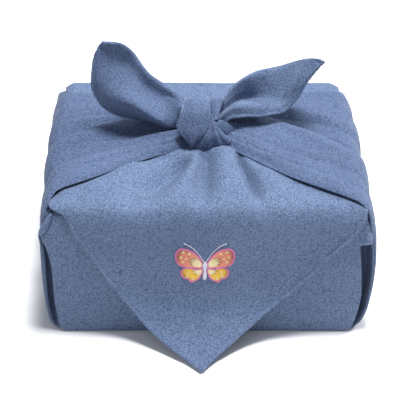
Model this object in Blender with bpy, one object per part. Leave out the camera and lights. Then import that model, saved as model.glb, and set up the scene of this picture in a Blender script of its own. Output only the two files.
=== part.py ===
"""A square crepe cloth tied round a gift box: one corner hangs down the front, two are knotted on top.

Run it with blender --background --python part.py, or from Blender's text editor.
+X is the right-hand side, -Y the front with the hanging corner, +Z up.
The origin is the middle of the flat underside, so the wrap stands on the plane z = 0.
"""

import math
from bisect import bisect_right

import bmesh
import bpy
from mathutils import Vector

MM = 0.001

# Driving sizes
CLOTH_THICK = 2.0 * MM          # two layers of crepe, as they lie along a folded edge
EAR_THICK = 1.6 * MM
BAND_DEPTH = 6.5 * MM           # how far the side corners reach into the wrap below them
MOTIF_LIFT = 0.3 * MM           # gap between the cloth and the stitched motif
MOTIF_THICK = 0.8 * MM

CLOTH_BLUE = (0.165, 0.225, 0.385)
SALMON = (0.72, 0.27, 0.20)
GOLD = (0.80, 0.50, 0.10)
IVORY = (0.80, 0.76, 0.70)

SHARES = ("at", "share", "fold", "open")    # columns without a unit


class Curve:
    """A smooth curve through values at rising places, which never overshoots them."""

    def __init__(self, places, values):
        self.places, self.values = places, values
        self.steps = [b - a for a, b in zip(places, places[1:])]
        rises = [(b - a) / step for a, b, step in zip(values, values[1:], self.steps)]
        inner = [2 * p * q / (p + q) if p * q > 0 else 0.0 for p, q in zip(rises, rises[1:])]
        self.slopes = [rises[0], *inner, rises[-1]]

    def __call__(self, place):
        if place <= self.places[0]:
            return self.values[0]
        if place >= self.places[-1]:
            return self.values[-1]
        i = bisect_right(self.places, place) - 1
        step = self.steps[i]
        t = (place - self.places[i]) / step
        rest = 1 - t
        start = self.values[i] * (1 + 2 * t) * rest * rest + self.slopes[i] * step * t * rest * rest
        end = self.values[i + 1] * (3 - 2 * t) * t * t - self.slopes[i + 1] * step * rest * t * t
        return start + end


def table(names, *rows):
    """Curves for the named columns over the first one. Columns not in SHARES are in millimetres."""
    names = names.split()
    scales = [1.0 if name in SHARES else MM for name in names]
    places, *columns = [[value * scale for value in column] for column, scale in zip(zip(*rows), scales)]
    return {name: Curve(places, column) for name, column in zip(names[1:], columns)}


def records(names, *rows):
    """One dictionary a row, with lengths in metres."""
    return [dict(zip(names.split(), [value * MM for value in row])) for row in rows]


def mix(a, b, share):
    return a + (b - a) * share


def ease(share):
    share = min(max(share, 0.0), 1.0)
    return share * share * (3 - 2 * share)


# The wrapped box, section by section: half width of the front and back panels, reach of the side
# cloth at its two lips and at its middle, depth of the front and the back, plan radius of the
# corners, and how open the corner pockets are between panel and lip
WRAP = table(
    "height panel lip side front back round open",
    (0.0, 99.0, 100.5, 99.0, 84.6, 85.6, 7.0, 0.0),
    (1.2, 101.0, 103.5, 101.2, 86.2, 87.6, 6.5, 0.0),
    (4.5, 102.0, 106.6, 102.8, 86.6, 88.6, 6.0, 0.0),
    (10.0, 102.2, 107.8, 103.6, 86.3, 88.8, 5.5, 0.15),
    (20.0, 102.4, 110.0, 104.6, 86.4, 89.4, 4.5, 0.6),
    (36.0, 102.6, 111.6, 105.4, 86.4, 89.8, 4.0, 1.0),
    (54.0, 102.8, 112.4, 106.0, 86.4, 90.0, 4.0, 1.0),
    (68.0, 103.0, 112.4, 106.6, 86.4, 90.0, 4.0, 1.0),
    (78.0, 103.0, 111.6, 106.8, 86.3, 90.0, 4.5, 0.75),
    (85.0, 102.8, 110.0, 106.4, 85.8, 89.8, 5.0, 0.25),
    (91.0, 101.8, 107.4, 105.0, 84.6, 89.2, 5.5, 0.0),
    (94.5, 100.2, 104.0, 102.6, 82.6, 87.8, 6.0, 0.0),
    (96.5, 97.0, 98.5, 98.5, 79.0, 84.5, 6.5, 0.0),
)
WRAP_HEIGHTS = (0.0, 1.2, 4.5, 10.0, 20.0, 31.0, 43.0, 55.0, 66.0, 74.0, 80.0, 85.5, 91.0, 94.5, 96.5)

# Each corner's pocket, by side and front or back: how deep it runs in behind the panel, and how
# far the panel's crease and the lip stand out beyond the common reach
POCKETS = {
    (1, -1): dict(depth=13.0 * MM, crease=-0.8 * MM, reach=0.4 * MM),
    (1, 1): dict(depth=8.0 * MM, crease=0.0 * MM, reach=-0.6 * MM),
    (-1, 1): dict(depth=9.0 * MM, crease=0.6 * MM, reach=-0.4 * MM),
    (-1, -1): dict(depth=7.0 * MM, crease=2.6 * MM, reach=0.2 * MM),
}
PANEL_SHARES = (0.0, 0.22, 0.44, 0.66, 0.86)
SIDE_SHARES = (0.80, 0.55, 0.28, 0.0)


def closed_corner(section, share):
    """A point of a corner where the side cloth lies flat round it, at a share of the way round."""
    turn = share * math.pi / 2
    radius, panel, deep = section["round"], section["panel"], section["deep"]
    widening = (section["lip"] - panel) * share
    x = panel - radius * (1 - math.sin(turn)) + widening
    return Vector((x, deep - radius * (1 - math.cos(turn))))


def open_corner(section, depth):
    """The points of a corner where the lip stands off: panel, crease, pocket and lip."""
    panel, lip, deep = section["panel"], section["lip"], section["deep"]
    floor = deep - depth - 2.0 * MM
    return [Vector(point) for point in (
        (panel - 3.0 * MM, deep),
        (panel - 0.3 * MM, deep - 1.2 * MM),
        (panel - 0.6 * MM, mix(deep, floor, 0.55)),
        (mix(panel, lip, 0.45), floor),
        (lip - 2.2 * MM, mix(deep, floor, 0.55)),
        (lip - 1.6 * MM, deep - 2.4 * MM),
        (lip, deep - 6.0 * MM),
    )]


def wrap_quarter(height, across, along):
    """One quarter of a section: half a panel, its corner, and half the side cloth."""
    section = {name: curve(height) for name, curve in WRAP.items()}
    pocket = POCKETS[(across, along)]
    section["lip"] += pocket["reach"] * section["open"]
    section["panel"] += pocket["crease"] * section["open"]
    section["deep"] = section["front"] if along < 0 else section["back"]
    opened = open_corner(section, pocket["depth"])
    last = len(opened) - 1
    corner = [closed_corner(section, i / last).lerp(opened[i], section["open"]) for i in range(last + 1)]
    panel = [Vector((corner[0].x * share, corner[0].y)) for share in PANEL_SHARES]
    lip = corner[-1]
    side = [Vector((mix(section["side"], lip.x, ease(share) ** 1.5), lip.y * share)) for share in SIDE_SHARES]
    return [Vector((p.x * across, p.y * along)) for p in panel + corner + side]


def wrap_outline(height):
    """The whole section at one height, from the middle of the front and once round."""
    front_right = wrap_quarter(height, 1, -1)
    back_right = wrap_quarter(height, 1, 1)[::-1]
    back_left = wrap_quarter(height, -1, 1)
    front_left = wrap_quarter(height, -1, -1)[::-1]
    return front_right[:-1] + back_right[:-1] + back_left[:-1] + front_left[:-1]


def new_object(name, bm, collection):
    mesh = bpy.data.meshes.new(name)
    bm.to_mesh(mesh)
    bm.free()
    obj = bpy.data.objects.new(name, mesh)
    collection.objects.link(obj)
    return obj


def loft(name, rings, collection):
    """A closed piece through rings of points, all of the same count, with flat ends."""
    bm = bmesh.new()
    loops = [[bm.verts.new(point) for point in ring] for ring in rings]
    for low, high in zip(loops, loops[1:]):
        for i in range(len(low)):
            after = (i + 1) % len(low)
            bm.faces.new((low[i], low[after], high[after], high[i]))
    bm.faces.new(loops[0][::-1])
    bm.faces.new(loops[-1])
    if bm.calc_volume(signed=True) < 0:
        bmesh.ops.reverse_faces(bm, faces=bm.faces)
    return new_object(name, bm, collection)


def wrapped_box(name, collection):
    """The cloth that is pulled tight round the box: panels, side cloth and the pockets between."""
    rings = []
    for height in WRAP_HEIGHTS:
        z = height * MM
        rings.append([(p.x, p.y, z) for p in wrap_outline(z)])
    return loft(name, rings, collection)


def slab(name, outer, inner, shares, places, collection):
    """A closed piece between two surfaces, each a function of a share across and a place along."""
    bm = bmesh.new()
    columns, rows = len(shares) - 1, len(places) - 1
    for surface in (outer, inner):
        made = bmesh.ops.create_grid(bm, x_segments=columns, y_segments=rows, size=0.5)
        for vertex in made["verts"]:
            share = shares[round((vertex.co.x + 0.5) * columns)]
            place = places[round((vertex.co.y + 0.5) * rows)]
            vertex.co = surface(share, place)
    rim = [edge for edge in bm.edges if edge.is_boundary]
    bmesh.ops.bridge_loops(bm, edges=rim)
    bmesh.ops.recalc_face_normals(bm, faces=bm.faces)
    if bm.calc_volume(signed=True) < 0:
        bmesh.ops.reverse_faces(bm, faces=bm.faces)
    return new_object(name, bm, collection)


# The hanging corner, along its middle from the back edge over the top to the tip: the places of
# its two edges, and how far it is sunk in the cloth below. It leaves the front face low down and
# its tip lies on the surface in front
FLAP = table(
    "at y z left right sunk",
    (0.00, 88.4, 92.6, -95.0, 95.0, 1.6),
    (0.03, 86.4, 98.4, -96.5, 96.5, 2.4),
    (0.06, 80.0, 100.4, -97.0, 97.0, 4.4),
    (0.16, 50.0, 99.8, -97.0, 97.0, 4.0),
    (0.44, -20.0, 98.8, -96.0, 96.0, 4.0),
    (0.58, -60.0, 98.6, -97.0, 99.0, 4.0),
    (0.640, -78.0, 97.6, -97.5, 103.5, 3.4),
    (0.672, -84.2, 94.2, -95.6, 104.2, 2.0),
    (0.700, -86.6, 88.5, -91.5, 102.5, 1.6),
    (0.735, -87.2, 80.0, -87.0, 97.2, 1.6),
    (0.775, -87.5, 70.0, -81.4, 88.5, 1.5),
    (0.815, -87.9, 59.5, -74.8, 78.4, 1.0),
    (0.855, -88.8, 48.5, -67.8, 69.0, 0.0),
    (0.890, -90.2, 38.0, -60.7, 58.6, 0.0),
    (0.920, -92.6, 29.0, -53.8, 47.6, 0.0),
    (0.945, -96.2, 21.0, -46.8, 37.6, 0.0),
    (0.965, -101.6, 13.8, -39.2, 27.8, 0.0),
    (0.980, -109.0, 8.0, -29.6, 18.0, 0.0),
    (0.990, -117.0, 4.2, -20.2, 9.4, 0.0),
    (0.996, -125.5, 2.3, -11.4, 2.0, 0.0),
    (1.000, -132.6, 1.2, -5.0, -2.8, 0.0),
)
FLAP_PLACES = (
    0.0, 0.015, 0.03, 0.045, 0.06, 0.10, 0.20, 0.32, 0.39, 0.43, 0.465, 0.50, 0.53, 0.56, 0.59, 0.617, 0.640, 0.657, 0.672,
    0.686, 0.700, 0.718, 0.735, 0.755, 0.775, 0.795, 0.815, 0.835, 0.855, 0.873, 0.890, 0.906, 0.920,
    0.934, 0.945, 0.955, 0.965, 0.973, 0.980, 0.985, 0.990, 0.993, 0.996, 0.998, 1.0,
)
FLAP_SHARES = (
    0.0, 0.05, 0.11, 0.16, 0.205, 0.24, 0.27, 0.30, 0.33, 0.36, 0.39, 0.42, 0.45, 0.475, 0.50, 0.525,
    0.55, 0.58, 0.61, 0.635, 0.66, 0.69, 0.73, 0.78, 0.84, 0.90, 0.95, 1.0,
)

# Soft folds of the top cloth that run out from under the knot: start and end in plan, rise (a
# hollow where it is below zero), and half width at the start and at the end
TOP_FOLDS = records(
    "start_x start_y end_x end_y rise near far",
    (-44.0, -28.0, -76.0, -82.0, 1.2, 7.0, 16.0),
    (-22.0, -26.0, -54.0, -70.0, -3.2, 6.0, 12.0),
    (-5.0, -22.0, -30.0, -78.0, 1.8, 5.0, 13.0),
    (1.5, -20.0, -1.0, -74.0, -3.2, 4.5, 6.0),
    (17.0, -14.0, 14.0, -78.0, 2.2, 5.0, 10.0),
    (21.5, -20.0, 33.0, -76.0, -3.4, 3.0, 4.0),
    (29.0, -30.0, 50.0, -84.0, 2.0, 4.0, 11.0),
)
FOLD_FADE = 0.16                # share of a fold's length over which each end dies away
KNOT_FOOT = Vector((0.0, -5.0 * MM))
TENT = table("far rise", (0.0, 6.5), (20.0, 5.0), (45.0, 2.2), (70.0, 0.5), (85.0, 0.0))


def top_rise(x, y):
    """Rise of the top cloth over the box, where the knot lifts it and gathers it into folds."""
    here = Vector((x, y))
    rise = TENT["rise"]((here - KNOT_FOOT).length)
    for fold in TOP_FOLDS:
        start = Vector((fold["start_x"], fold["start_y"]))
        line = Vector((fold["end_x"], fold["end_y"])) - start
        share = (here - start).dot(line) / line.length_squared
        beside = abs((here - start).cross(line)) / line.length
        width = mix(fold["near"], fold["far"], min(max(share, 0.0), 1.0))
        ends = ease(share / FOLD_FADE + 0.5) * ease((1 - share) / FOLD_FADE + 0.5)
        rise += fold["rise"] * ends * math.exp(-((beside / width) ** 2))
    return rise


def flap_point(share, at, offset):
    """A point of the hanging corner, an offset out from the middle of the cloth's thickness."""
    step = 0.004
    before, after = max(at - step, 0.0), min(at + step, 1.0)
    run_y = FLAP["y"](after) - FLAP["y"](before)
    run_z = FLAP["z"](after) - FLAP["z"](before)
    outward = Vector((0.0, run_z, -run_y)).normalized()
    place = Vector((mix(FLAP["left"](at), FLAP["right"](at), share), FLAP["y"](at), FLAP["z"](at)))
    return place + outward * offset


def flap_outer(share, at):
    on_top = 1 - ease((at - 0.655) / 0.06)
    flat = flap_point(share, at, CLOTH_THICK / 2)
    return flap_point(share, at, CLOTH_THICK / 2 + top_rise(flat.x, flat.y) * on_top)


def flap_inner(share, at):
    return flap_point(share, at, -CLOTH_THICK / 2 - FLAP["sunk"](at))


# The two side corners of the cloth, from low on the side face over the top edge to the knot:
# reach from the middle plane, height, front and back edge, how far the folds stand up, and the
# rise of the middle over the edges
LEFT_BAND = table(
    "at out high front back fold belly",
    (0.00, 109.0, 36.0, -80.0, 82.0, 0.0, -5.8),
    (0.08, 111.0, 54.0, -81.5, 83.0, 0.2, -6.0),
    (0.15, 112.2, 68.0, -82.5, 84.0, 0.42, -6.0),
    (0.20, 112.0, 78.0, -83.0, 85.0, 0.6, -5.0),
    (0.25, 110.6, 85.5, -82.6, 85.0, 0.75, -3.4),
    (0.30, 108.4, 92.0, -80.5, 84.0, 0.88, -2.0),
    (0.35, 104.8, 98.0, -75.0, 82.5, 0.95, -0.6),
    (0.40, 98.8, 101.0, -67.0, 80.0, 1.0, 0.2),
    (0.54, 80.0, 101.4, -55.5, 75.0, 1.0, 0.8),
    (0.68, 59.0, 101.6, -41.0, 62.0, 1.0, 2.0),
    (0.80, 41.0, 102.0, -29.5, 42.0, 1.0, 4.5),
    (0.90, 26.0, 102.6, -22.0, 25.0, 0.8, 8.0),
    (1.00, 10.0, 104.0, -14.0, 12.0, 0.4, 11.0),
)
RIGHT_BAND = table(
    "at out high front back fold belly",
    (0.00, 109.4, 36.0, -80.0, 82.0, 0.0, -6.2),
    (0.08, 111.6, 54.0, -82.0, 83.5, 0.2, -6.6),
    (0.15, 112.8, 68.0, -83.6, 84.5, 0.42, -6.6),
    (0.20, 112.0, 78.0, -84.6, 85.0, 0.6, -5.2),
    (0.25, 110.4, 85.5, -84.8, 85.0, 0.75, -3.4),
    (0.30, 107.6, 92.0, -84.4, 84.5, 0.88, -1.6),
    (0.35, 103.4, 97.8, -83.0, 84.0, 0.95, -0.4),
    (0.40, 97.2, 100.8, -79.5, 82.5, 1.0, 0.2),
    (0.54, 78.0, 101.4, -67.0, 79.0, 1.0, 0.8),
    (0.68, 57.0, 101.6, -52.0, 70.0, 1.0, 2.0),
    (0.80, 39.0, 102.0, -36.0, 50.0, 1.0, 4.5),
    (0.90, 25.0, 102.6, -23.0, 28.0, 0.8, 8.0),
    (1.00, 10.0, 104.0, -11.0, 14.0, 0.4, 11.0),
)
# Height of the folds across a side corner, from its front edge (0) to its back edge (1)
LEFT_FOLDS = table(
    "share rise",
    (0.0, -0.6), (0.02, 1.4), (0.07, 2.2), (0.17, 3.6), (0.29, 1.8), (0.40, 4.6), (0.46, 4.0),
    (0.505, 0.2), (0.62, 1.8), (0.76, 3.2), (0.92, 1.8), (1.0, -0.6),
)
RIGHT_FOLDS = table(
    "share rise",
    (0.0, -0.6), (0.02, 1.4), (0.07, 2.2), (0.18, 3.4), (0.31, 5.2), (0.375, 5.0), (0.42, 0.6),
    (0.51, 1.2), (0.61, 2.8), (0.71, 4.2), (0.81, 3.4), (0.93, 1.8), (1.0, -0.6),
)
BAND_SHARES = (
    0.0, 0.02, 0.07, 0.12, 0.17, 0.23, 0.29, 0.34, 0.375, 0.397, 0.42, 0.44, 0.46, 0.483, 0.505, 0.56,
    0.61, 0.66, 0.71, 0.77, 0.84, 0.92, 0.975, 1.0,
)
BAND_PLACES = (
    0.0, 0.08, 0.15, 0.20, 0.25, 0.275, 0.30, 0.325, 0.35, 0.375, 0.40, 0.44, 0.48, 0.54, 0.61, 0.68,
    0.74, 0.80, 0.85, 0.90, 0.95, 1.0,
)


def band_point(band, side, share, at, offset):
    """A point of a side corner, an offset out from the line that its edges follow."""
    step = 0.01
    before, after = max(at - step, 0.0), min(at + step, 1.0)
    run_out = band["out"](after) - band["out"](before)
    run_high = band["high"](after) - band["high"](before)
    outward = Vector((run_high, -run_out)).normalized()
    out, high = band["out"](at) + outward.x * offset, band["high"](at) + outward.y * offset
    return Vector((side * out, mix(band["front"](at), band["back"](at), share), high))


def side_corner(name, band, folds, side, collection):
    """One of the two corners that are brought up over the sides and tied."""

    def outer(share, at):
        bulge = band["belly"](at) * 4 * share * (1 - share)
        return band_point(band, side, share, at, folds["rise"](share) * band["fold"](at) + bulge)

    def inner(share, at):
        bulge = min(0.0, band["belly"](at)) * 4 * share * (1 - share)
        return band_point(band, side, share, at, bulge - BAND_DEPTH)

    return slab(name, outer, inner, BAND_SHARES, BAND_PLACES, collection)


# The two tied corners that stand out of the knot, by the lines that run along each of them: the
# lower hem, the fold that comes forward, the hollow behind it and the upper edge
LEFT_EAR = table(
    "at hem_x hem_y hem_z fold_x fold_y fold_z hollow_x hollow_y hollow_z top_x top_y top_z",
    (0.00, -10.2, -4.0, 111.0, -10.2, -8.0, 118.0, -10.2, -4.0, 125.0, -10.2, 2.0, 126.0),
    (0.14, -20.7, -8.0, 115.0, -21.2, -14.0, 123.5, -20.2, -8.0, 129.0, -18.2, 4.0, 129.0),
    (0.30, -30.7, -7.0, 117.5, -31.7, -13.0, 123.5, -33.2, -2.0, 135.0, -29.2, 10.0, 137.5),
    (0.46, -39.7, -5.0, 118.5, -41.7, -15.0, 129.5, -44.7, 4.0, 139.0, -39.2, 11.0, 146.5),
    (0.60, -52.5, -4.0, 120.5, -51.1, -15.0, 137.0, -52.7, 4.0, 151.5, -44.7, 8.0, 155.5),
    (0.72, -64.4, -4.0, 125.5, -61.0, -13.0, 141.5, -59.1, 4.0, 158.0, -48.7, 5.0, 164.0),
    (0.83, -73.3, -3.0, 133.5, -67.9, -9.0, 147.0, -63.5, 4.0, 164.0, -52.8, 3.0, 170.5),
    (0.92, -78.5, -1.0, 146.5, -73.3, -4.0, 156.5, -67.1, 3.0, 168.0, -59.7, 2.0, 174.0),
    (1.00, -76.3, 1.0, 164.5, -74.3, 1.0, 169.0, -72.3, 1.0, 172.5, -69.3, 1.0, 175.5),
)
RIGHT_EAR = table(
    "at hem_x hem_y hem_z fold_x fold_y fold_z hollow_x hollow_y hollow_z top_x top_y top_z",
    (0.00, 5.0, -2.0, 110.0, 5.0, -5.0, 115.0, 4.5, -1.0, 119.5, 4.0, 2.0, 124.0),
    (0.14, 13.5, -2.0, 115.5, 13.0, -4.5, 121.0, 11.5, 1.0, 124.0, 9.0, 3.0, 128.5),
    (0.28, 22.0, 2.0, 118.5, 19.5, 0.0, 129.0, 19.0, 10.0, 127.5, 17.5, 7.0, 137.0),
    (0.42, 31.0, 6.0, 117.0, 30.0, 4.0, 129.0, 28.5, 16.0, 131.0, 27.0, 9.0, 146.0),
    (0.56, 40.0, 8.0, 117.0, 38.0, 6.0, 127.5, 38.0, 17.0, 134.0, 36.5, 10.0, 149.5),
    (0.70, 53.5, 8.0, 124.5, 51.5, 7.0, 131.5, 51.5, 13.0, 139.5, 48.5, 8.0, 154.5),
    (0.82, 62.0, 7.0, 134.0, 61.0, 7.0, 140.0, 60.5, 9.0, 147.0, 60.0, 6.0, 159.0),
    (0.92, 69.5, 5.0, 144.5, 69.0, 5.0, 149.0, 69.5, 6.0, 154.0, 69.0, 4.0, 162.0),
    (1.00, 79.0, 2.0, 157.5, 79.5, 2.0, 159.0, 80.0, 2.0, 160.5, 80.0, 2.0, 162.0),
)
EAR_PLACES = (
    0.0, 0.07, 0.14, 0.22, 0.30, 0.36, 0.42, 0.48, 0.54, 0.60, 0.66, 0.72, 0.775, 0.83, 0.88, 0.92, 0.96, 1.0,
)
EAR_SHARES = (0.0, 0.09, 0.18, 0.26, 0.33, 0.41, 0.49, 0.57, 0.65, 0.73, 0.82, 0.91, 1.0)


def through(points, share):
    """A place on the smooth curve through a few points, at a share of the way along."""
    spans = len(points) - 1
    i = min(int(share * spans), spans - 1)
    t = share * spans - i
    before = points[i - 1] if i > 0 else points[0] * 2 - points[1]
    after = points[i + 2] if i + 2 <= spans else points[-1] * 2 - points[-2]
    a, b = points[i], points[i + 1]
    bend = (b - before) * t + (before * 2 - a * 5 + b * 4 - after) * t * t
    return a + (bend + (a * 3 - before - b * 3 + after) * t ** 3) / 2


def ear_middle(ear, share, at):
    """A point of a standing corner's middle surface, from its hem (0) to its upper edge (1)."""
    lines = [Vector([ear[f"{line}_{axis}"](at) for axis in "xyz"]) for line in ("hem", "fold", "hollow", "top")]
    return through(lines, share)


def standing_corner(name, ear, collection):
    """A tied corner of the cloth that stands out of the knot."""
    step = 0.02

    def face(offset):
        def placed(share, at):
            wide = ear_middle(ear, min(share + step, 1.0), at) - ear_middle(ear, max(share - step, 0.0), at)
            long = ear_middle(ear, share, min(at + step, 1.0)) - ear_middle(ear, share, max(at - step, 0.0))
            return ear_middle(ear, share, at) + wide.cross(long).normalized() * offset

        return placed

    return slab(name, face(EAR_THICK / 2), face(-EAR_THICK / 2), EAR_SHARES, EAR_PLACES, collection)


# The laps of cloth that make the knot, each along its middle: place, half width and half thickness
KNOT_LAPS = {
    "knot_core": table(
        "at x y z wide thick",
        (0.0, -18.2, 0.0, 111.0, 4.0, 6.0), (0.2, -12.2, -1.0, 112.0, 11.5, 14.0),
        (0.5, -1.2, -1.0, 113.0, 14.0, 15.5), (0.8, 10.8, -1.0, 111.0, 12.0, 12.5),
        (1.0, 17.8, 0.0, 109.0, 4.0, 6.0),
    ),
    "front_lap": table(
        "at x y z wide thick",
        (0.0, -1.2, 10.0, 121.0, 8.0, 4.0), (0.2, -2.2, 3.0, 128.5, 10.0, 4.2),
        (0.4, -4.2, -7.0, 129.0, 10.5, 4.4), (0.6, -7.2, -14.5, 121.5, 10.5, 4.4),
        (0.8, -10.7, -16.0, 111.5, 10.0, 4.2), (1.0, -10.2, -9.0, 104.0, 8.5, 4.0),
    ),
    "low_lap": table(
        "at x y z wide thick",
        (0.0, 19.8, 2.0, 108.0, 6.0, 4.5), (0.3, 13.8, -8.0, 108.0, 7.0, 5.0),
        (0.6, 4.8, -14.0, 106.5, 7.5, 5.4), (0.85, -3.2, -15.5, 103.5, 6.5, 5.0),
        (1.0, -8.2, -13.0, 102.0, 4.5, 4.0),
    ),
    "back_lap": table(
        "at x y z wide thick",
        (0.0, 5.8, -3.0, 117.0, 7.0, 4.0), (0.3, 6.8, 6.0, 121.0, 9.0, 4.5),
        (0.6, 5.8, 14.0, 116.0, 9.5, 4.5), (1.0, 1.8, 15.0, 105.0, 8.0, 4.0),
    ),
}
LAP_WIDTHS = {
    "knot_core": Vector((0.0, 0.0, 1.0)),
    "front_lap": Vector((0.93, 0.0, -0.36)),
    "low_lap": Vector((0.25, 0.0, 1.0)),
    "back_lap": Vector((1.0, 0.0, 0.2)),
}
LAP_PLACES = [i / 12 for i in range(13)]
LAP_POINTS = 14                 # points round a lap
LAP_SQUARE = 0.72               # below 1 its section is squarer than an ellipse, as folded cloth is


def rounded(value):
    return math.copysign(abs(value) ** LAP_SQUARE, value)


def knot_lap(name, collection):
    """One lap of the knot: a flattened roll swept along its middle line."""
    path, widest = KNOT_LAPS[name], LAP_WIDTHS[name]
    rings = []
    for at in LAP_PLACES:
        before, after = max(at - 0.05, 0.0), min(at + 0.05, 1.0)
        middle = Vector([path[axis](at) for axis in "xyz"])
        run = Vector([path[axis](after) - path[axis](before) for axis in "xyz"]).normalized()
        wide = (widest - run * widest.dot(run)).normalized()
        thick = run.cross(wide)
        ring = []
        for i in range(LAP_POINTS):
            turn = 2 * math.pi * i / LAP_POINTS
            aside = wide * rounded(math.cos(turn)) * path["wide"](at)
            ring.append(middle + aside + thick * rounded(math.sin(turn)) * path["thick"](at))
        rings.append(ring)
    return loft(name, rings, collection)


# The stitched butterfly on the hanging corner, seen from the front: outlines of its parts about
# its own middle, in millimetres. The left wings mirror the right ones
MOTIF_MIDDLE = Vector((-1.5 * MM, 55.5 * MM))
UPPER_WING = ((1.3, 1.5), (5.0, 7.6), (11.5, 11.6), (17.6, 11.2), (18.8, 6.2), (16.2, 0.6), (9.0, -1.2), (3.0, -0.6))
LOWER_WING = ((1.3, -1.4), (7.5, -2.0), (13.6, -1.6), (14.6, -6.2), (11.2, -10.8), (6.4, -11.6), (3.4, -7.8))
BODY = ((0.0, 5.2), (0.95, 3.0), (0.85, -2.5), (0.7, -8.0), (0.0, -12.2), (-0.7, -8.0), (-0.85, -2.5), (-0.95, 3.0))
ANTENNA = table("at x z", (0.0, 0.7, 5.2), (0.4, 4.0, 11.0), (0.75, 8.4, 16.4), (1.0, 11.6, 18.6))
ANTENNA_WIDE = 0.6 * MM
ANTENNA_STEPS = 8
OUTLINE_POINTS = 30
face_heights = FLAP["z"].values[:5:-1]
FACE = Curve(face_heights, FLAP["y"].values[:5:-1])     # the front of the hanging corner over height


def closed_curve(points, count):
    """Points along the smooth closed curve through a few."""
    ring = [Vector(point) * MM for point in points]
    wrapped = [ring[-1], *ring, ring[0], ring[1]]
    spans = len(wrapped) - 1
    return [through(wrapped, (1 + i * len(ring) / count) / spans) for i in range(count)]


def on_face(point, proud):
    """The place of a motif point on the hanging corner, standing proud of the cloth's face."""
    z = MOTIF_MIDDLE.y + point.y
    return Vector((MOTIF_MIDDLE.x + point.x, FACE(z) - CLOTH_THICK / 2 - proud, z))


def patch(name, outline, collection):
    """A thin raised patch of stitching over an outline."""
    middle = sum(outline, Vector((0.0, 0.0))) / len(outline)
    bm = bmesh.new()
    made = bmesh.ops.create_circle(bm, cap_ends=True, cap_tris=True, segments=len(outline), radius=1.0)
    rim = [vertex for vertex in made["verts"] if vertex.co.length > 0.5]
    for vertex in made["verts"]:
        vertex.co = on_face(middle, MOTIF_LIFT)
    for vertex, point in zip(rim, outline):
        vertex.co = on_face(point, MOTIF_LIFT)
    raised = bmesh.ops.extrude_face_region(bm, geom=bm.faces[:])["geom"]
    for element in raised:
        if isinstance(element, bmesh.types.BMVert):
            element.co.y -= MOTIF_THICK
    bmesh.ops.recalc_face_normals(bm, faces=bm.faces)
    return new_object(name, bm, collection)


def mirrored(points):
    return [Vector((-p.x, p.y)) for p in points]


def antenna(name, side, collection):
    """One thin curved antenna, on the right (1) or the left (-1)."""

    def face(proud):
        def placed(share, at):
            before, after = max(at - 0.05, 0.0), min(at + 0.05, 1.0)
            run = Vector([ANTENNA[axis](after) - ANTENNA[axis](before) for axis in "xz"]).normalized()
            point = Vector([ANTENNA[axis](at) for axis in "xz"])
            point += Vector((-run.y, run.x)) * ANTENNA_WIDE * (share - 0.5)
            return on_face(Vector((side * point.x, point.y)), proud)

        return placed

    places = [i / ANTENNA_STEPS for i in range(ANTENNA_STEPS + 1)]
    return slab(name, face(MOTIF_LIFT + MOTIF_THICK), face(MOTIF_LIFT), (0.0, 1.0), places, collection)


def clear_scene():
    for obj in list(bpy.data.objects):
        bpy.data.objects.remove(obj, do_unlink=True)


def collection_named(name):
    made = bpy.data.collections.new(name)
    bpy.context.scene.collection.children.link(made)
    return made


def fabric(name, colour, roughness):
    material = bpy.data.materials.new(name)
    material.use_nodes = True
    shader = material.node_tree.nodes["Principled BSDF"]
    shader.inputs["Base Color"].default_value = (*colour, 1.0)
    shader.inputs["Roughness"].default_value = roughness
    shader.inputs["Metallic"].default_value = 0.0
    return material


def join_to(base, pieces):
    """The pieces become one body with the base: each is a helper that a union takes in."""
    for piece in pieces:
        piece.hide_render = True
        piece.display_type = "WIRE"
        union = base.modifiers.new(piece.name, "BOOLEAN")
        union.operation = "UNION"
        union.solver = "EXACT"
        union.object = piece


def build_cloth(wrap, folds):
    cloth = wrapped_box("cloth", wrap)
    cloth.data.materials.append(fabric("crepe", CLOTH_BLUE, 0.85))
    pieces = [
        side_corner("left_corner", LEFT_BAND, LEFT_FOLDS, -1, folds),
        side_corner("right_corner", RIGHT_BAND, RIGHT_FOLDS, 1, folds),
        slab("hanging_corner", flap_outer, flap_inner, FLAP_SHARES, FLAP_PLACES, folds),
        standing_corner("left_ear", LEFT_EAR, folds),
        standing_corner("right_ear", RIGHT_EAR, folds),
        *[knot_lap(name, folds) for name in KNOT_LAPS],
    ]
    join_to(cloth, pieces)


def build_motif(wrap):
    upper = closed_curve(UPPER_WING, OUTLINE_POINTS)
    lower = closed_curve(LOWER_WING, OUTLINE_POINTS)
    salmon, gold, ivory = fabric("salmon", SALMON, 0.6), fabric("gold", GOLD, 0.6), fabric("ivory", IVORY, 0.6)
    outlines = (
        ("upper_wing_right", upper, salmon),
        ("upper_wing_left", mirrored(upper), salmon),
        ("lower_wing_right", lower, gold),
        ("lower_wing_left", mirrored(lower), gold),
        ("motif_body", closed_curve(BODY, OUTLINE_POINTS), ivory),
    )
    for name, outline, material in outlines:
        patch(name, outline, wrap).data.materials.append(material)
    antenna("antenna_right", 1, wrap).data.materials.append(ivory)
    antenna("antenna_left", -1, wrap).data.materials.append(ivory)


def main():
    clear_scene()
    wrap = collection_named("furoshiki_wrap")
    folds = collection_named("folds_joined_to_the_cloth")
    build_cloth(wrap, folds)
    build_motif(wrap)


main()
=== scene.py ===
# A square crepe cloth tied round a gift box: one corner hangs down the front, two are knotted on top.
# Lengths in the shape tables are millimetres. +X is the right-hand side, -Y the front, +Z up.

import math
from functools import partial

import bmesh
import bpy
import numpy as np
from mathutils import Matrix, Vector


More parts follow.
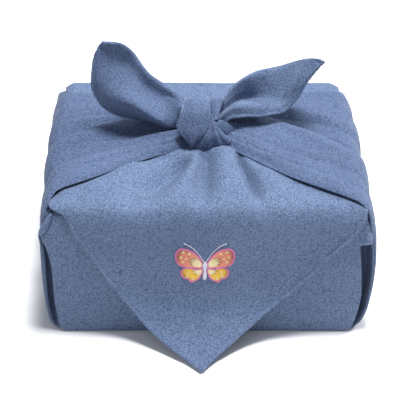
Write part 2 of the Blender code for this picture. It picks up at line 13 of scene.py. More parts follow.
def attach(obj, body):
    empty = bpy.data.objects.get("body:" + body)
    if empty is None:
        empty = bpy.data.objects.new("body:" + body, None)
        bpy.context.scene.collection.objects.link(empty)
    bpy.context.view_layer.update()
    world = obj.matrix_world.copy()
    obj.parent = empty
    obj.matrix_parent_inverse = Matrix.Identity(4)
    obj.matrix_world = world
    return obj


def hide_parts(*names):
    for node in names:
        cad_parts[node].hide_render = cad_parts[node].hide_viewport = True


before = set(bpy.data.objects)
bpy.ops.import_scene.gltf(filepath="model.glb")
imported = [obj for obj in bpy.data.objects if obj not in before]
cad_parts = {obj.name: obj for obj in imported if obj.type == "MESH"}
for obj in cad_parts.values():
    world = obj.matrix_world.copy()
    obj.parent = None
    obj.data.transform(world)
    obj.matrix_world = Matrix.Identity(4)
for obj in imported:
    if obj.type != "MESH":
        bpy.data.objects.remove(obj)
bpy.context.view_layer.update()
mm = 0.001


# Curves and small helpers

def smoothCurve(places, values):
    # a monotone curve through the values, for whole arrays of places
    x, y = np.array(places, float), np.array(values, float)
    step = np.diff(x)
    rise = np.diff(y) / step
    product, total = rise[:-1] * rise[1:], rise[:-1] + rise[1:]
    inner = np.where(product > 0, 2 * product / np.where(product > 0, total, 1.0), 0.0)
    slope = np.concatenate([rise[:1], inner, rise[-1:]])

    def valueAt(place):
        place = np.clip(place, x[0], x[-1])
        i = np.clip(np.searchsorted(x, place, side="right") - 1, 0, len(step) - 1)
        t = (place - x[i]) / step[i]
        rest = 1 - t
        start = y[i] * (1 + 2 * t) * rest * rest + slope[i] * step[i] * t * rest * rest
        end = y[i + 1] * (3 - 2 * t) * t * t - slope[i + 1] * step[i] * rest * t * t
        return start + end

    return valueAt


def table(names, *rows):
    columns = list(zip(*rows))
    return {name: smoothCurve(columns[0], column) for name, column in zip(names.split()[1:], columns[1:])}


def ease(share):
    share = np.clip(share, 0.0, 1.0)
    return share * share * (3 - 2 * share)


def mix(a, b, share):
    return a + (b - a) * share


def rising(value, start, over):
    # smoothly from 0 at start to 1 at start + over
    return ease((value - start) / over)


def mound(far, high, wide):
    return high * np.exp(-(far / wide) ** 2)


def pleats(turns, power):
    # rounded pleats with tight valleys, about -0.6 to 0.4, one to each turn
    return np.abs(np.sin(math.pi * turns)) ** power - 0.6


def ripple(u, v, size, seed):
    # soft uneven waves, from a few sines in unrelated directions; about -1 to 1
    total = 0.0
    goldenTurn = 2.399
    for k in range(5):
        turn = seed * 1.7 + k * goldenTurn
        along = u * math.cos(turn) + v * math.sin(turn)
        phase = seed * (k + 1) * 1.3
        total = total + np.sin(2 * math.pi * (1 + 0.37 * k) * along / size + phase) / (1 + 0.4 * k)
    return total / 2.2


def evenPlaces(x, y, count):
    # places from 0 to 1 that lie evenly along a path given by two curves
    steps = 1200
    fine = np.linspace(0, 1, steps)
    far = np.concatenate([[0], np.cumsum(np.hypot(np.diff(x(fine)), np.diff(y(fine))))])
    return np.interp(np.linspace(0, far[-1], count), far, fine)


def unit(vectors):
    return vectors / np.maximum(np.linalg.norm(vectors, axis=-1, keepdims=True), 1e-9)


def through(points, share):
    # the smooth curve through a few points, or through rows of them, at shares of the way along
    spans = len(points) - 1
    knots = [points[0] * 2 - points[1], *points, points[-1] * 2 - points[-2]]
    knots = np.stack(np.broadcast_arrays(*knots))
    share = np.asarray(share, float)
    i = np.clip((share * spans).astype(int), 0, spans - 1)
    t = (share * spans - i)[..., None]
    pick = np.arange(len(share))
    many = knots.ndim == 3                          # each share has its own points
    before, a, b, after = [knots[i + k, pick] if many else knots[i + k] for k in range(4)]
    bend = (b - before) * t + (before * 2 - a * 5 + b * 4 - after) * t * t
    return a + (bend + (a * 3 - before - b * 3 + after) * t ** 3) / 2


# The camera stands where the photo's did, so the ears and the knot are placed by where they show in it
cameraView = {
    "target": (-0.030, -0.084, 0.098), "pitch": 32.0, "distance": 1.0, "lens": 133.26, "sensor": 36.0,
    "picture": 416,                                 # pixels across the square picture
    "aside": 46.2,                                  # the front, square to the view, is left of its middle
}
pitch = math.radians(cameraView["pitch"])


def seenAt(across, down, y):
    # the point in mm that shows at this place in the picture and lies at this depth, to a tenth
    zoom = cameraView["lens"] / cameraView["sensor"] * cameraView["picture"]
    middle, level, steep = cameraView["picture"] / 2, math.cos(pitch), math.sin(pitch)
    targetX, targetY, targetZ = cameraView["target"]
    up, behind = (middle - down) / zoom, y * mm - targetY
    high = (up * (cameraView["distance"] + level * behind) - steep * behind) / (level + steep * up)
    depth = cameraView["distance"] + level * behind - steep * high
    x = targetX + (across - middle + cameraView["aside"]) / zoom * depth
    return round(x / mm, 1), y, round((targetZ + high) / mm, 1)


def seenTable(lines, *rows):
    # a table of a few lines, from the places and the depth at which the photo shows points of them
    names = [line + axis for line in lines.split() for axis in "XYZ"]
    points = [(at, *[value for place in places for value in seenAt(*place)]) for at, *places in rows]
    return table("at " + " ".join(names), *points)


def pointsOf(curves, line, at):
    return np.stack([curves[line + axis](at) for axis in "XYZ"], -1)


# Meshes

def gridMesh(columns, rows, place):
    # a grid whose points go where place(share, row) says, in millimetres
    bm = bmesh.new()
    bmesh.ops.create_grid(bm, x_segments=columns, y_segments=rows, size=0.5)
    spots = np.array([vertex.co[:2] for vertex in bm.verts]) + 0.5
    points = place(spots[:, 0], spots[:, 1]) * mm
    for vertex, point in zip(bm.verts, points):
        vertex.co = point
    return bm


def finishPiece(name, bm, materials):
    for face in bm.faces:
        face.smooth = True
    mesh = bpy.data.meshes.new(name)
    bm.to_mesh(mesh)
    bm.free()
    obj = bpy.data.objects.new(name, mesh)
    bpy.context.scene.collection.objects.link(obj)
    for material in materials:
        mesh.materials.append(material)
    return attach(obj, "root")


def thicken(obj, thick, offset=-1.0):
    # the cloth's thickness, inwards from the sheet unless offset says otherwise
    wall = obj.modifiers.new("thickness", "SOLIDIFY")
    wall.thickness = thick * mm
    wall.offset = offset
    wall.use_even_offset = False


def clothSheet(name, columns, rows, place, looks, material, thick, offset=-1.0):
    # a sheet with its outside towards looks
    bm = gridMesh(columns, rows, place)
    bm.normal_update()
    facing = sum((face.normal * face.calc_area() for face in bm.faces), Vector())
    if facing.dot(Vector(looks)) < 0:
        bmesh.ops.reverse_faces(bm, faces=bm.faces)
    obj = finishPiece(name, bm, [material])
    thicken(obj, thick, offset)
    return obj


def sweptPiece(name, path, wide, thick, square, material, around=20, crease=None):
    # a closed roll along a path of points and the directions of its width; square below 1 flattens its sides
    points, across = path
    points, across = np.array(points, float), unit(np.array(across, float))
    rows = len(points) - 1
    run = unit(np.gradient(points, axis=0))
    across = unit(across - run * (across * run).sum(1, keepdims=True))
    up = np.cross(run, across)

    def place(share, row):
        i = np.rint(row * rows).astype(int)
        turn = 2 * math.pi * share
        c, s = np.cos(turn), np.sin(turn)
        c, s = np.sign(c) * np.abs(c) ** square, np.sign(s) * np.abs(s) ** square
        swell = 1.0 if crease is None else crease(share, row)
        sideways, upwards = (c * wide[i] * swell)[:, None], (s * thick[i] * swell)[:, None]
        return points[i] + across[i] * sideways + up[i] * upwards

    bm = gridMesh(around, rows, place)
    bmesh.ops.remove_doubles(bm, verts=bm.verts, dist=0.01 * mm)
    bmesh.ops.holes_fill(bm, edges=[edge for edge in bm.edges if edge.is_boundary], sides=around)
    bmesh.ops.recalc_face_normals(bm, faces=bm.faces)
    return finishPiece(name, bm, [material])


# Materials

def toLinear(hexColour):
    channels = [int(hexColour[i:i + 2], 16) / 255 for i in (1, 3, 5)]
    return (*[c / 12.92 if c <= 0.04045 else ((c + 0.055) / 1.055) ** 2.4 for c in channels], 1.0)


def addNode(tree, kind, settings=None, inputs=None, links=None):
    # a node with its settings, its socket values, and what feeds its sockets
    node = tree.nodes.new(kind)
    for key, value in (settings or {}).items():
        setattr(node, key, value)
    for key, value in (inputs or {}).items():
        node.inputs[key].default_value = value
    for key, (source, output) in (links or {}).items():
        tree.links.new(source.outputs[output], node.inputs[key])
    return node


def ramp(tree, source, output, stops):
    node = addNode(tree, "ShaderNodeValToRGB", links={"Fac": (source, output)})
    elements = node.color_ramp.elements
    while len(elements) < len(stops):
        elements.new(0.5)
    for element, (position, colour) in zip(elements, stops):
        element.position, element.color = position, colour
    return node


def newMaterial(name, roughness, sheen=0.0, sheenTint="#ffffff"):
    material = bpy.data.materials.new(name)
    material.use_nodes = True
    tree = material.node_tree
    shader = tree.nodes["Principled BSDF"]
    shader.inputs["Roughness"].default_value = roughness
    shader.inputs["Sheen Weight"].default_value = sheen
    shader.inputs["Sheen Roughness"].default_value = 0.45
    shader.inputs["Sheen Tint"].default_value = toLinear(sheenTint)
    return material, tree, shader


# Polyester chirimen crepe: hard-twisted weft shrinks into a fine uneven pebble of small matt grains,
# with no gloss but a faint bloom on the edges. Pale grain tops are painted highlight, darker hollows painted
# shade
crepeLook = {
    # colours by grain height, partly the cloth's own blue: top is a painted highlight, hollow painted shade
    "top": "#6e809e", "middle": "#566887", "hollow": "#3a4c6d",
    "stops": (0.12, 0.32, 0.55),                        # heights of the hollow, middle and top colours
    "grain": 0.75, "pebble": 1.15, "cloudy": 38.0,      # sizes in mm; the real grain is 0.7 to 1.5 mm
    "flatter": 1.35,                                    # the weft's grains are wider than they are high
    "pebbleShare": -0.55, "cloudShare": 0.16,
    "relief": 0.55, "roughness": 0.8, "sheen": 0.12, "sheenTint": "#dfe6f5",
}
# A darker copy of the crepe colours: painted shade, not a different cloth
shadedCrepeLook = {**crepeLook, "top": "#5e6f91", "middle": "#495a7a", "hollow": "#2f4161"}


def crepe(name, look):
    material, tree, shader = newMaterial(name, look["roughness"], look["sheen"], look["sheenTint"])
    where = addNode(tree, "ShaderNodeTexCoord")
    spread = addNode(tree, "ShaderNodeMapping", inputs={"Scale": (1.0, 1.0, look["flatter"])},
                     links={"Vector": (where, "Object")})
    grain = addNode(tree, "ShaderNodeTexNoise",
                    inputs={"Scale": 1 / (look["grain"] * mm), "Detail": 2.5, "Roughness": 0.6,
                            "Distortion": 0.4},
                    links={"Vector": (spread, "Vector")})
    pebble = addNode(tree, "ShaderNodeTexVoronoi", {"feature": "SMOOTH_F1"},
                     {"Scale": 1 / (look["pebble"] * mm), "Smoothness": 0.5, "Randomness": 1.0},
                     {"Vector": (spread, "Vector")})
    both = addNode(tree, "ShaderNodeMath", {"operation": "MULTIPLY_ADD"}, {1: look["pebbleShare"]},
                   {0: (pebble, "Distance"), 2: (grain, "Fac")})
    cloudy = addNode(tree, "ShaderNodeTexNoise", inputs={"Scale": 1 / (look["cloudy"] * mm), "Detail": 2.0},
                     links={"Vector": (where, "Object")})
    height = addNode(tree, "ShaderNodeMath", {"operation": "MULTIPLY_ADD"}, {1: look["cloudShare"]},
                     {0: (cloudy, "Fac"), 2: (both, "Value")})
    # painted highlight on the grain tops and painted shade in its hollows
    colours = [toLinear(look[part]) for part in ("hollow", "middle", "top")]
    colour = ramp(tree, height, "Value", list(zip(look["stops"], colours)))
    tree.links.new(colour.outputs["Color"], shader.inputs["Base Color"])
    bump = addNode(tree, "ShaderNodeBump", inputs={"Strength": 1.0, "Distance": look["relief"] * mm},
                   links={"Height": (both, "Value")})
    tree.links.new(bump.outputs["Normal"], shader.inputs["Normal"])
    return material


# Rayon embroidery thread: bright twisted filament, laid side by side, with a soft silky gloss
threadLook = {
    "roughness": 0.42, "sheen": 0.15, "blotch": 0.9,    # the size in mm of paler and deeper lengths of thread
    "stops": (0.3, 0.65),
    "colours": {                                        # pale and deep
        "Pink": ("#d47ca7", "#c06696"), "Salmon": ("#df9579", "#d47960"), "Cream": ("#e2d3a7", "#d5c08a"),
        "Gold": ("#e4c04c", "#ddad31"), "Ivory": ("#e0dde4", "#c8c5da"),
    },
}


def rayonThread(colourName):
    pale, deep = [toLinear(shade) for shade in threadLook["colours"][colourName]]
    roughness, sheen = threadLook["roughness"], threadLook["sheen"]
    material, tree, shader = newMaterial("rayonThread" + colourName, roughness, sheen)
    where = addNode(tree, "ShaderNodeTexCoord")
    scale = 1 / (threadLook["blotch"] * mm)
    noise = addNode(tree, "ShaderNodeTexNoise", inputs={"Scale": scale, "Detail": 2.0},
                    links={"Vector": (where, "Object")})
    colour = ramp(tree, noise, "Fac", list(zip(threadLook["stops"], (deep, pale))))
    tree.links.new(colour.outputs["Color"], shader.inputs["Base Color"])
    return material


crepeCloth = crepe("polyesterChirimenCrepe", crepeLook)
shadedCrepeCloth = crepe("polyesterChirimenCrepePaintedShade", shadedCrepeLook)    # the same crepe painted darker: painted shade on the side corners, the knot and the left ear
pinkThread, salmonThread, creamThread, goldThread, ivoryThread = [
    rayonThread(colourName) for colourName in threadLook["colours"]]
print("materials ready")


# The cloth pulled tight round the box, section by section, with the pocket at each corner
wrapSheet = {
    "sections": table(
        "height side front back round",
        (0.0, 96.0, 84.6, 85.6, 7.0),
        (1.2, 98.2, 86.2, 87.6, 6.5),
        (4.5, 99.8, 86.6, 88.6, 6.0),
        (10.0, 100.6, 86.3, 88.8, 5.5),
        (20.0, 101.6, 86.4, 89.4, 4.5),
        (36.0, 102.4, 86.4, 89.8, 4.0),
        (54.0, 103.0, 86.4, 90.0, 4.0),
        (68.0, 103.6, 86.4, 90.0, 4.0),
        (78.0, 103.8, 86.3, 90.0, 4.5),
        (85.0, 103.4, 85.8, 89.8, 5.0),
        (91.0, 101.0, 84.6, 89.2, 5.5),
        (94.5, 98.6, 82.6, 87.8, 6.0),
        (96.5, 95.5, 79.0, 84.5, 6.5),
    ),
    "pockets": {                                    # by side and front or back
        (1, -1): table(
            "height crease lip depth open",
            (0.0, 98.7, 100.0, 3.0, 0.0), (1.2, 99.8, 102.4, 4.0, 0.2), (4.5, 100.6, 105.0, 6.0, 0.6),
            (11.0, 101.8, 108.4, 9.0, 1.0), (19.0, 103.2, 110.9, 12.0, 1.0), (30.0, 104.4, 112.4, 14.0, 1.0),
            (46.0, 103.6, 113.2, 15.0, 1.0), (58.0, 102.3, 112.8, 15.0, 1.0), (65.0, 101.6, 112.2, 14.0, 1.0),
            (68.6, 101.4, 111.8, 12.0, 0.98), (70.8, 103.4, 111.6, 4.0, 0.1), (73.0, 105.6, 111.4, 2.0, 0.0),
            (78.0, 106.2, 111.0, 2.0, 0.0), (84.0, 105.6, 109.0, 2.0, 0.0), (91.0, 103.0, 106.6, 2.0, 0.0),
            (94.5, 100.6, 103.6, 2.0, 0.0), (96.5, 97.0, 98.5, 2.0, 0.0)),
        (-1, -1): table(
            "height crease lip depth open",
            (0.0, 99.0, 100.4, 3.0, 0.0), (1.2, 100.3, 102.8, 4.0, 0.2), (4.5, 100.6, 105.4, 6.0, 0.6),
            (10.0, 101.0, 107.6, 8.0, 0.9), (18.0, 101.8, 109.2, 10.0, 1.0), (27.0, 102.8, 110.0, 11.0, 1.0),
            (49.0, 103.5, 110.6, 11.0, 1.0), (61.5, 105.2, 110.8, 10.0, 1.0), (70.0, 107.6, 110.9, 8.0, 1.0),
            (76.5, 109.8, 111.2, 5.0, 1.0), (80.0, 107.8, 110.8, 5.0, 1.0), (85.4, 104.2, 109.4, 6.0, 1.0),
            (91.0, 102.4, 106.8, 5.0, 1.0), (94.5, 100.8, 103.8, 3.0, 0.5), (96.5, 97.0, 98.5, 2.0, 0.0)),
        (1, 1): table(
            "height crease lip depth open",
            (0.0, 99.0, 100.5, 3.0, 0.0), (4.5, 102.0, 106.6, 6.0, 0.2), (20.0, 102.4, 109.8, 8.0, 0.7),
            (40.0, 102.8, 111.4, 8.0, 1.0), (70.0, 103.0, 111.6, 8.0, 1.0), (80.0, 103.0, 110.6, 8.0, 0.7),
            (91.0, 102.4, 107.8, 6.0, 0.5), (95.0, 101.6, 105.2, 3.0, 0.2), (96.5, 98.5, 101.5, 2.0, 0.0)),
        (-1, 1): table(
            "height crease lip depth open",
            (0.0, 99.0, 100.5, 3.0, 0.0), (4.5, 102.0, 106.6, 6.0, 0.2), (20.0, 103.0, 109.6, 8.0, 0.7),
            (40.0, 103.4, 111.0, 9.0, 1.0), (70.0, 103.6, 111.2, 9.0, 1.0), (80.0, 103.4, 110.4, 9.0, 0.7),
            (91.0, 102.4, 108.6, 6.0, 0.5), (95.0, 102.0, 107.2, 3.0, 0.2), (96.5, 98.5, 103.5, 2.0, 0.0)),
    },
    "dome": (105.6, 73.4, 3.6, 5.0, 2.6),           # the bulge over the right pocket: x, z, sizes and rise
    "domeFoot": 69.8,                               # and its lowest height
    "tucked": 1.1,                                  # how far the lips lie inside the side cloth
    "lipFold": 2.2, "lipFoldShare": 0.3,            # the lip's fold, and at most this share of the lip
    "floorGap": 2.0,
    "soft": (0.35, 46.0, 3),                        # height, size and seed of the cloth's faint waves
    "softOver": 20.0, "softTo": (92.0, 15.0),       # they start at the foot and die away below the top
    "panelFrom": 78.0,                              # front and back of this, a point is on the front or back
    "baseRings": (0.0, 0.3, 0.6, 0.8, 0.92),        # rings of the underside, from its middle
    "tuckRings": (0.95, 0.85),                      # the upper edge, folded in under the top cloth
    "hemRise": (0.0, 0.4, 0.9), "from": 1.6, "to": 96.5,
    "thick": 1.2,
    "rows": 84,
}


def wrapQuarter(height, across, along):
    # one corner's stretch of the section at a height, from the middle of the panel to the middle of the side
    section = {name: float(curve(height)) for name, curve in wrapSheet["sections"].items()}
    pocket = {name: float(curve(height)) for name, curve in wrapSheet["pockets"][(across, along)].items()}
    lip, panel = pocket["lip"] - wrapSheet["tucked"], pocket["crease"]
    deep = section["front"] if along < 0 else section["back"]
    floor = deep - pocket["depth"] - wrapSheet["floorGap"]
    wall = min(wrapSheet["lipFold"], wrapSheet["lipFoldShare"] * (lip - panel))
    opened = np.array([                             # in past the crease, along the floor, out round the lip
        (panel - 3.0, deep), (panel - 0.3, deep - 1.2), (panel - 0.6, mix(deep, floor, 0.55)),
        (mix(panel, lip, 0.45), floor), (lip - wall, mix(deep, floor, 0.55)), (lip - 0.7 * wall, deep - 2.4),
        (lip, deep - 6.0)])
    turn = np.linspace(0, math.pi / 2, len(opened))
    closed = np.stack([panel - section["round"] * (1 - np.sin(turn)) + (lip - panel) * turn / (math.pi / 2),
                       deep - section["round"] * (1 - np.cos(turn))], 1)
    corner = through(list(closed + (opened - closed) * pocket["open"]), np.linspace(0, 1, 31))
    panelShares = np.linspace(0, 1, 15)[:-1, None]
    flat = corner[0] * np.hstack([panelShares, np.ones_like(panelShares)])
    sideShares = np.linspace(1, 0, 13)[1:]
    side = np.stack([mix(section["side"], lip, ease(sideShares) ** 1.5), corner[-1][1] * sideShares], 1)
    return np.vstack([flat, corner, side]) * [across, along]


def wrapRing(height):
    frontRight, backRight = wrapQuarter(height, 1, -1), wrapQuarter(height, 1, 1)[::-1]
    backLeft, frontLeft = wrapQuarter(height, -1, 1), wrapQuarter(height, -1, -1)[::-1]
    return np.vstack([frontRight[:-1], backRight[:-1], backLeft[:-1], frontLeft])


def wrapRings():
    # rings of points from the middle of the underside, up the panels and in under the top cloth
    heights = [*wrapSheet["hemRise"], *np.linspace(wrapSheet["from"], wrapSheet["to"], wrapSheet["rows"])]
    rings = []
    for height in heights:
        ring = wrapRing(height)
        rings.append(np.column_stack([ring, np.full(len(ring), height)]))
    base = [rings[0] * share for share in wrapSheet["baseRings"]]
    tuckedIn = [rings[-1] * [share, share, 1] for share in wrapSheet["tuckRings"]]
    return np.array([*base, *rings, *tuckedIn])


def makeWrapSheet():
    rings = wrapRings()
    columns, rows = rings.shape[1] - 1, rings.shape[0] - 1
    high, size, seed = wrapSheet["soft"]
    top, over = wrapSheet["softTo"]
    domeX, domeZ, domeWide, domeHigh, domeRise = wrapSheet["dome"]

    def place(share, row):
        points = rings[np.rint(row * rows).astype(int), np.rint(share * columns).astype(int)]
        x, y, z = points.T
        soft = high * ripple(x + y, z * 1.3, size, seed)
        soft = soft * ease(z / wrapSheet["softOver"]) * ease((top - z) / over)
        overPocket = (y < -wrapSheet["panelFrom"]) * (z > wrapSheet["domeFoot"])
        dome = domeRise * np.exp(-((x - domeX) / domeWide) ** 2 - ((z - domeZ) / domeHigh) ** 2) * overPocket
        outward = unit(np.stack([x * 0, y, z * 0], 1)) * (np.abs(y) > wrapSheet["panelFrom"])[:, None]
        return points + outward * (soft + dome)[:, None]

    bm = gridMesh(columns, rows, place)
    bmesh.ops.remove_doubles(bm, verts=bm.verts, dist=0.005 * mm)
    bm.normal_update()
    middle = Vector((0, 0, 50.0)) * mm
    if sum(face.normal.dot(face.calc_center_median() - middle) for face in bm.faces) < 0:
        bmesh.ops.reverse_faces(bm, faces=bm.faces)
    obj = finishPiece("wrapSheet", bm, [crepeCloth])
    thicken(obj, wrapSheet["thick"])
    return obj


# A small rolled tuck where the front panel and the side cloth meet above the left pocket
leftTuck = {
    "path": ((-102.0, -83.6, 93.6), (-104.2, -85.4, 89.6), (-106.4, -86.2, 85.2), (-108.6, -85.4, 80.6),
             (-109.9, -82.5, 76.8)),
    "wide": (0.8, 1.9, 2.4, 2.0, 0.8), "thick": 1.4, "across": (0.75, 0.0, 0.66),
    "square": 0.85, "rows": 28, "around": 24,
}


def makeLeftTuck():
    shares = np.linspace(0, 1, leftTuck["rows"])
    points = through([np.array(point) for point in leftTuck["path"]], shares)
    across = np.tile(np.array(leftTuck["across"]), (leftTuck["rows"], 1))
    wide = smoothCurve(np.linspace(0, 1, len(leftTuck["wide"])), leftTuck["wide"])(shares)
    thick = np.full(leftTuck["rows"], leftTuck["thick"])
    return sweptPiece("leftTuck", (points, across), wide, thick, leftTuck["square"], crepeCloth,
                      leftTuck["around"])


wrapPiece = makeWrapSheet()
tuckPiece = makeLeftTuck()
print("wrap sheet ready")


# The back corner of the cloth: over the top under the knot, and down the front to its tip
hangingCorner = {
    "line": table(
        "at y z left right",
        (0.00, 88.0, 82.0, -99.0, 99.0),
        (0.015, 88.7, 90.0, -99.8, 99.8),
        (0.03, 88.2, 97.2, -100.5, 100.5),
        (0.06, 83.6, 101.0, -101.0, 101.0),
        (0.16, 50.0, 100.6, -100.0, 100.0),
        (0.44, -20.0, 98.8, -99.0, 99.0),
        (0.58, -60.0, 98.6, -101.0, 101.0),
        (0.640, -78.0, 97.6, -104.2, 103.5),
        (0.660, -82.2, 96.2, -102.6, 104.0),
        (0.678, -84.9, 93.2, -94.8, 103.8),
        (0.700, -86.6, 88.5, -91.8, 102.3),
        (0.735, -87.2, 80.0, -87.4, 97.2),
        (0.775, -87.5, 70.0, -81.4, 88.5),
        (0.815, -87.9, 59.5, -74.8, 78.4),
        (0.855, -88.8, 48.5, -67.8, 69.0),
        (0.890, -90.2, 38.0, -60.7, 58.6),
        (0.920, -92.6, 29.0, -53.8, 47.6),
        (0.945, -96.2, 21.0, -46.8, 37.6),
        (0.965, -101.6, 13.8, -39.2, 27.8),
        (0.980, -109.0, 8.0, -29.6, 18.0),
        (0.990, -117.0, 4.2, -20.2, 9.4),
        (0.996, -125.5, 2.3, -11.4, 2.0),
        (1.000, -132.6, 1.2, -5.0, -2.8),
    ),
    "folds": (                                      # start x y, end x y, rise, half width near and far
        (-48.0, -28.0, -84.0, -84.0, 2.4, 7.0, 17.0),
        (-14.0, -28.0, -56.0, -88.0, -9.0, 5.5, 12.0),
        (-5.0, -24.0, -26.0, -90.0, 3.2, 5.0, 13.0),
        (0.0, -20.0, -3.5, -90.0, -8.6, 4.0, 7.5),
        (12.0, -16.0, 17.0, -86.0, 3.0, 5.0, 11.0),
        (22.5, -22.0, 36.5, -88.0, -8.4, 2.2, 4.4),
        (36.0, -40.0, 56.0, -86.0, 2.6, 5.0, 11.0),
    ),
    "foldStart": 0.16, "foldEnd": (1.08, 0.75),     # where the folds have died away, and over how long
    "topEnds": (0.655, 0.06), "hangsFrom": (0.72, 0.06), "tipFrom": (0.95, 0.04),       # and these as well
    "looseLeft": (0.8, 7.0), "looseRight": (0.5, 6.0),          # how far the free edges stand off, how wide
    "soft": (0.3, 52.0, 5),                         # height, size and seed of the cloth's faint waves
    "droop": 4.0, "droopAcross": (94.0, 10.0), "droopBack": (-84.0, 26.0),
    "knotFoot": (0.0, -5.0),
    "tent": table("far rise", (0.0, 6.0), (20.0, 4.4), (40.0, 2.2), (65.0, 0.9), (85.0, 0.0)),
    "half": 1.0,                                    # half the folded thickness in the solid
    "columns": 150, "rows": 190, "thick": 1.2,
}


def topRise(x, y):
    footX, footY = hangingCorner["knotFoot"]
    rise = hangingCorner["tent"]["rise"](np.hypot(x - footX, y - footY))
    for startX, startY, endX, endY, high, near, far in hangingCorner["folds"]:
        lineX, lineY = endX - startX, endY - startY
        length = math.hypot(lineX, lineY)
        share = ((x - startX) * lineX + (y - startY) * lineY) / length ** 2
        beside = np.abs((x - startX) * lineY - (y - startY) * lineX) / length
        width = mix(near, far, np.clip(share, 0, 1))
        gone, over = hangingCorner["foldEnd"]
        ends = ease(share / hangingCorner["foldStart"] + 0.5) * ease((gone - share) / over)
        rise = rise + high * ends * np.exp(-((beside / width) ** 2))
    return rise


def flapLine(share, at, offset):
    line, step = hangingCorner["line"], 0.004
    before, after = np.clip(at - step, 0, 1), np.clip(at + step, 0, 1)
    runY, runZ = line["y"](after) - line["y"](before), line["z"](after) - line["z"](before)
    length = np.hypot(runY, runZ)
    x = mix(line["left"](at), line["right"](at), share)
    return np.stack([x, line["y"](at) + runZ / length * offset, line["z"](at) - runY / length * offset], 1)


def flapSurface(share, at):
    line, half = hangingCorner["line"], hangingCorner["half"]
    x, y, z = flapLine(share, at, half).T
    onTop = 1 - rising(at, *hangingCorner["topEnds"])
    wide = line["right"](at) - line["left"](at)
    looseLeft = mound(share * wide, *hangingCorner["looseLeft"])
    loose = looseLeft + mound((1 - share) * wide, *hangingCorner["looseRight"])
    high, size, seed = hangingCorner["soft"]
    soft = high * ripple(x, z + y, size, seed) * (1 - rising(at, *hangingCorner["tipFrom"]))
    edges = rising(np.abs(x), *hangingCorner["droopAcross"]) * rising(y, *hangingCorner["droopBack"])
    droop = hangingCorner["droop"] * edges * onTop
    hanging = rising(at, *hangingCorner["hangsFrom"])
    return flapLine(share, at, half + topRise(x, y) * onTop - droop + hanging * loose + soft)


def makeHangingCorner():
    line = hangingCorner["line"]
    places = evenPlaces(line["y"], line["z"], hangingCorner["rows"] + 1)

    def place(share, row):
        at = places[np.rint(row * hangingCorner["rows"]).astype(int)]
        return flapSurface(share, at)

    return clothSheet("hangingCorner", hangingCorner["columns"], hangingCorner["rows"], place,
                      (0, -0.5, 1), crepeCloth, hangingCorner["thick"])


flapPiece = makeHangingCorner()
print("hanging corner ready")


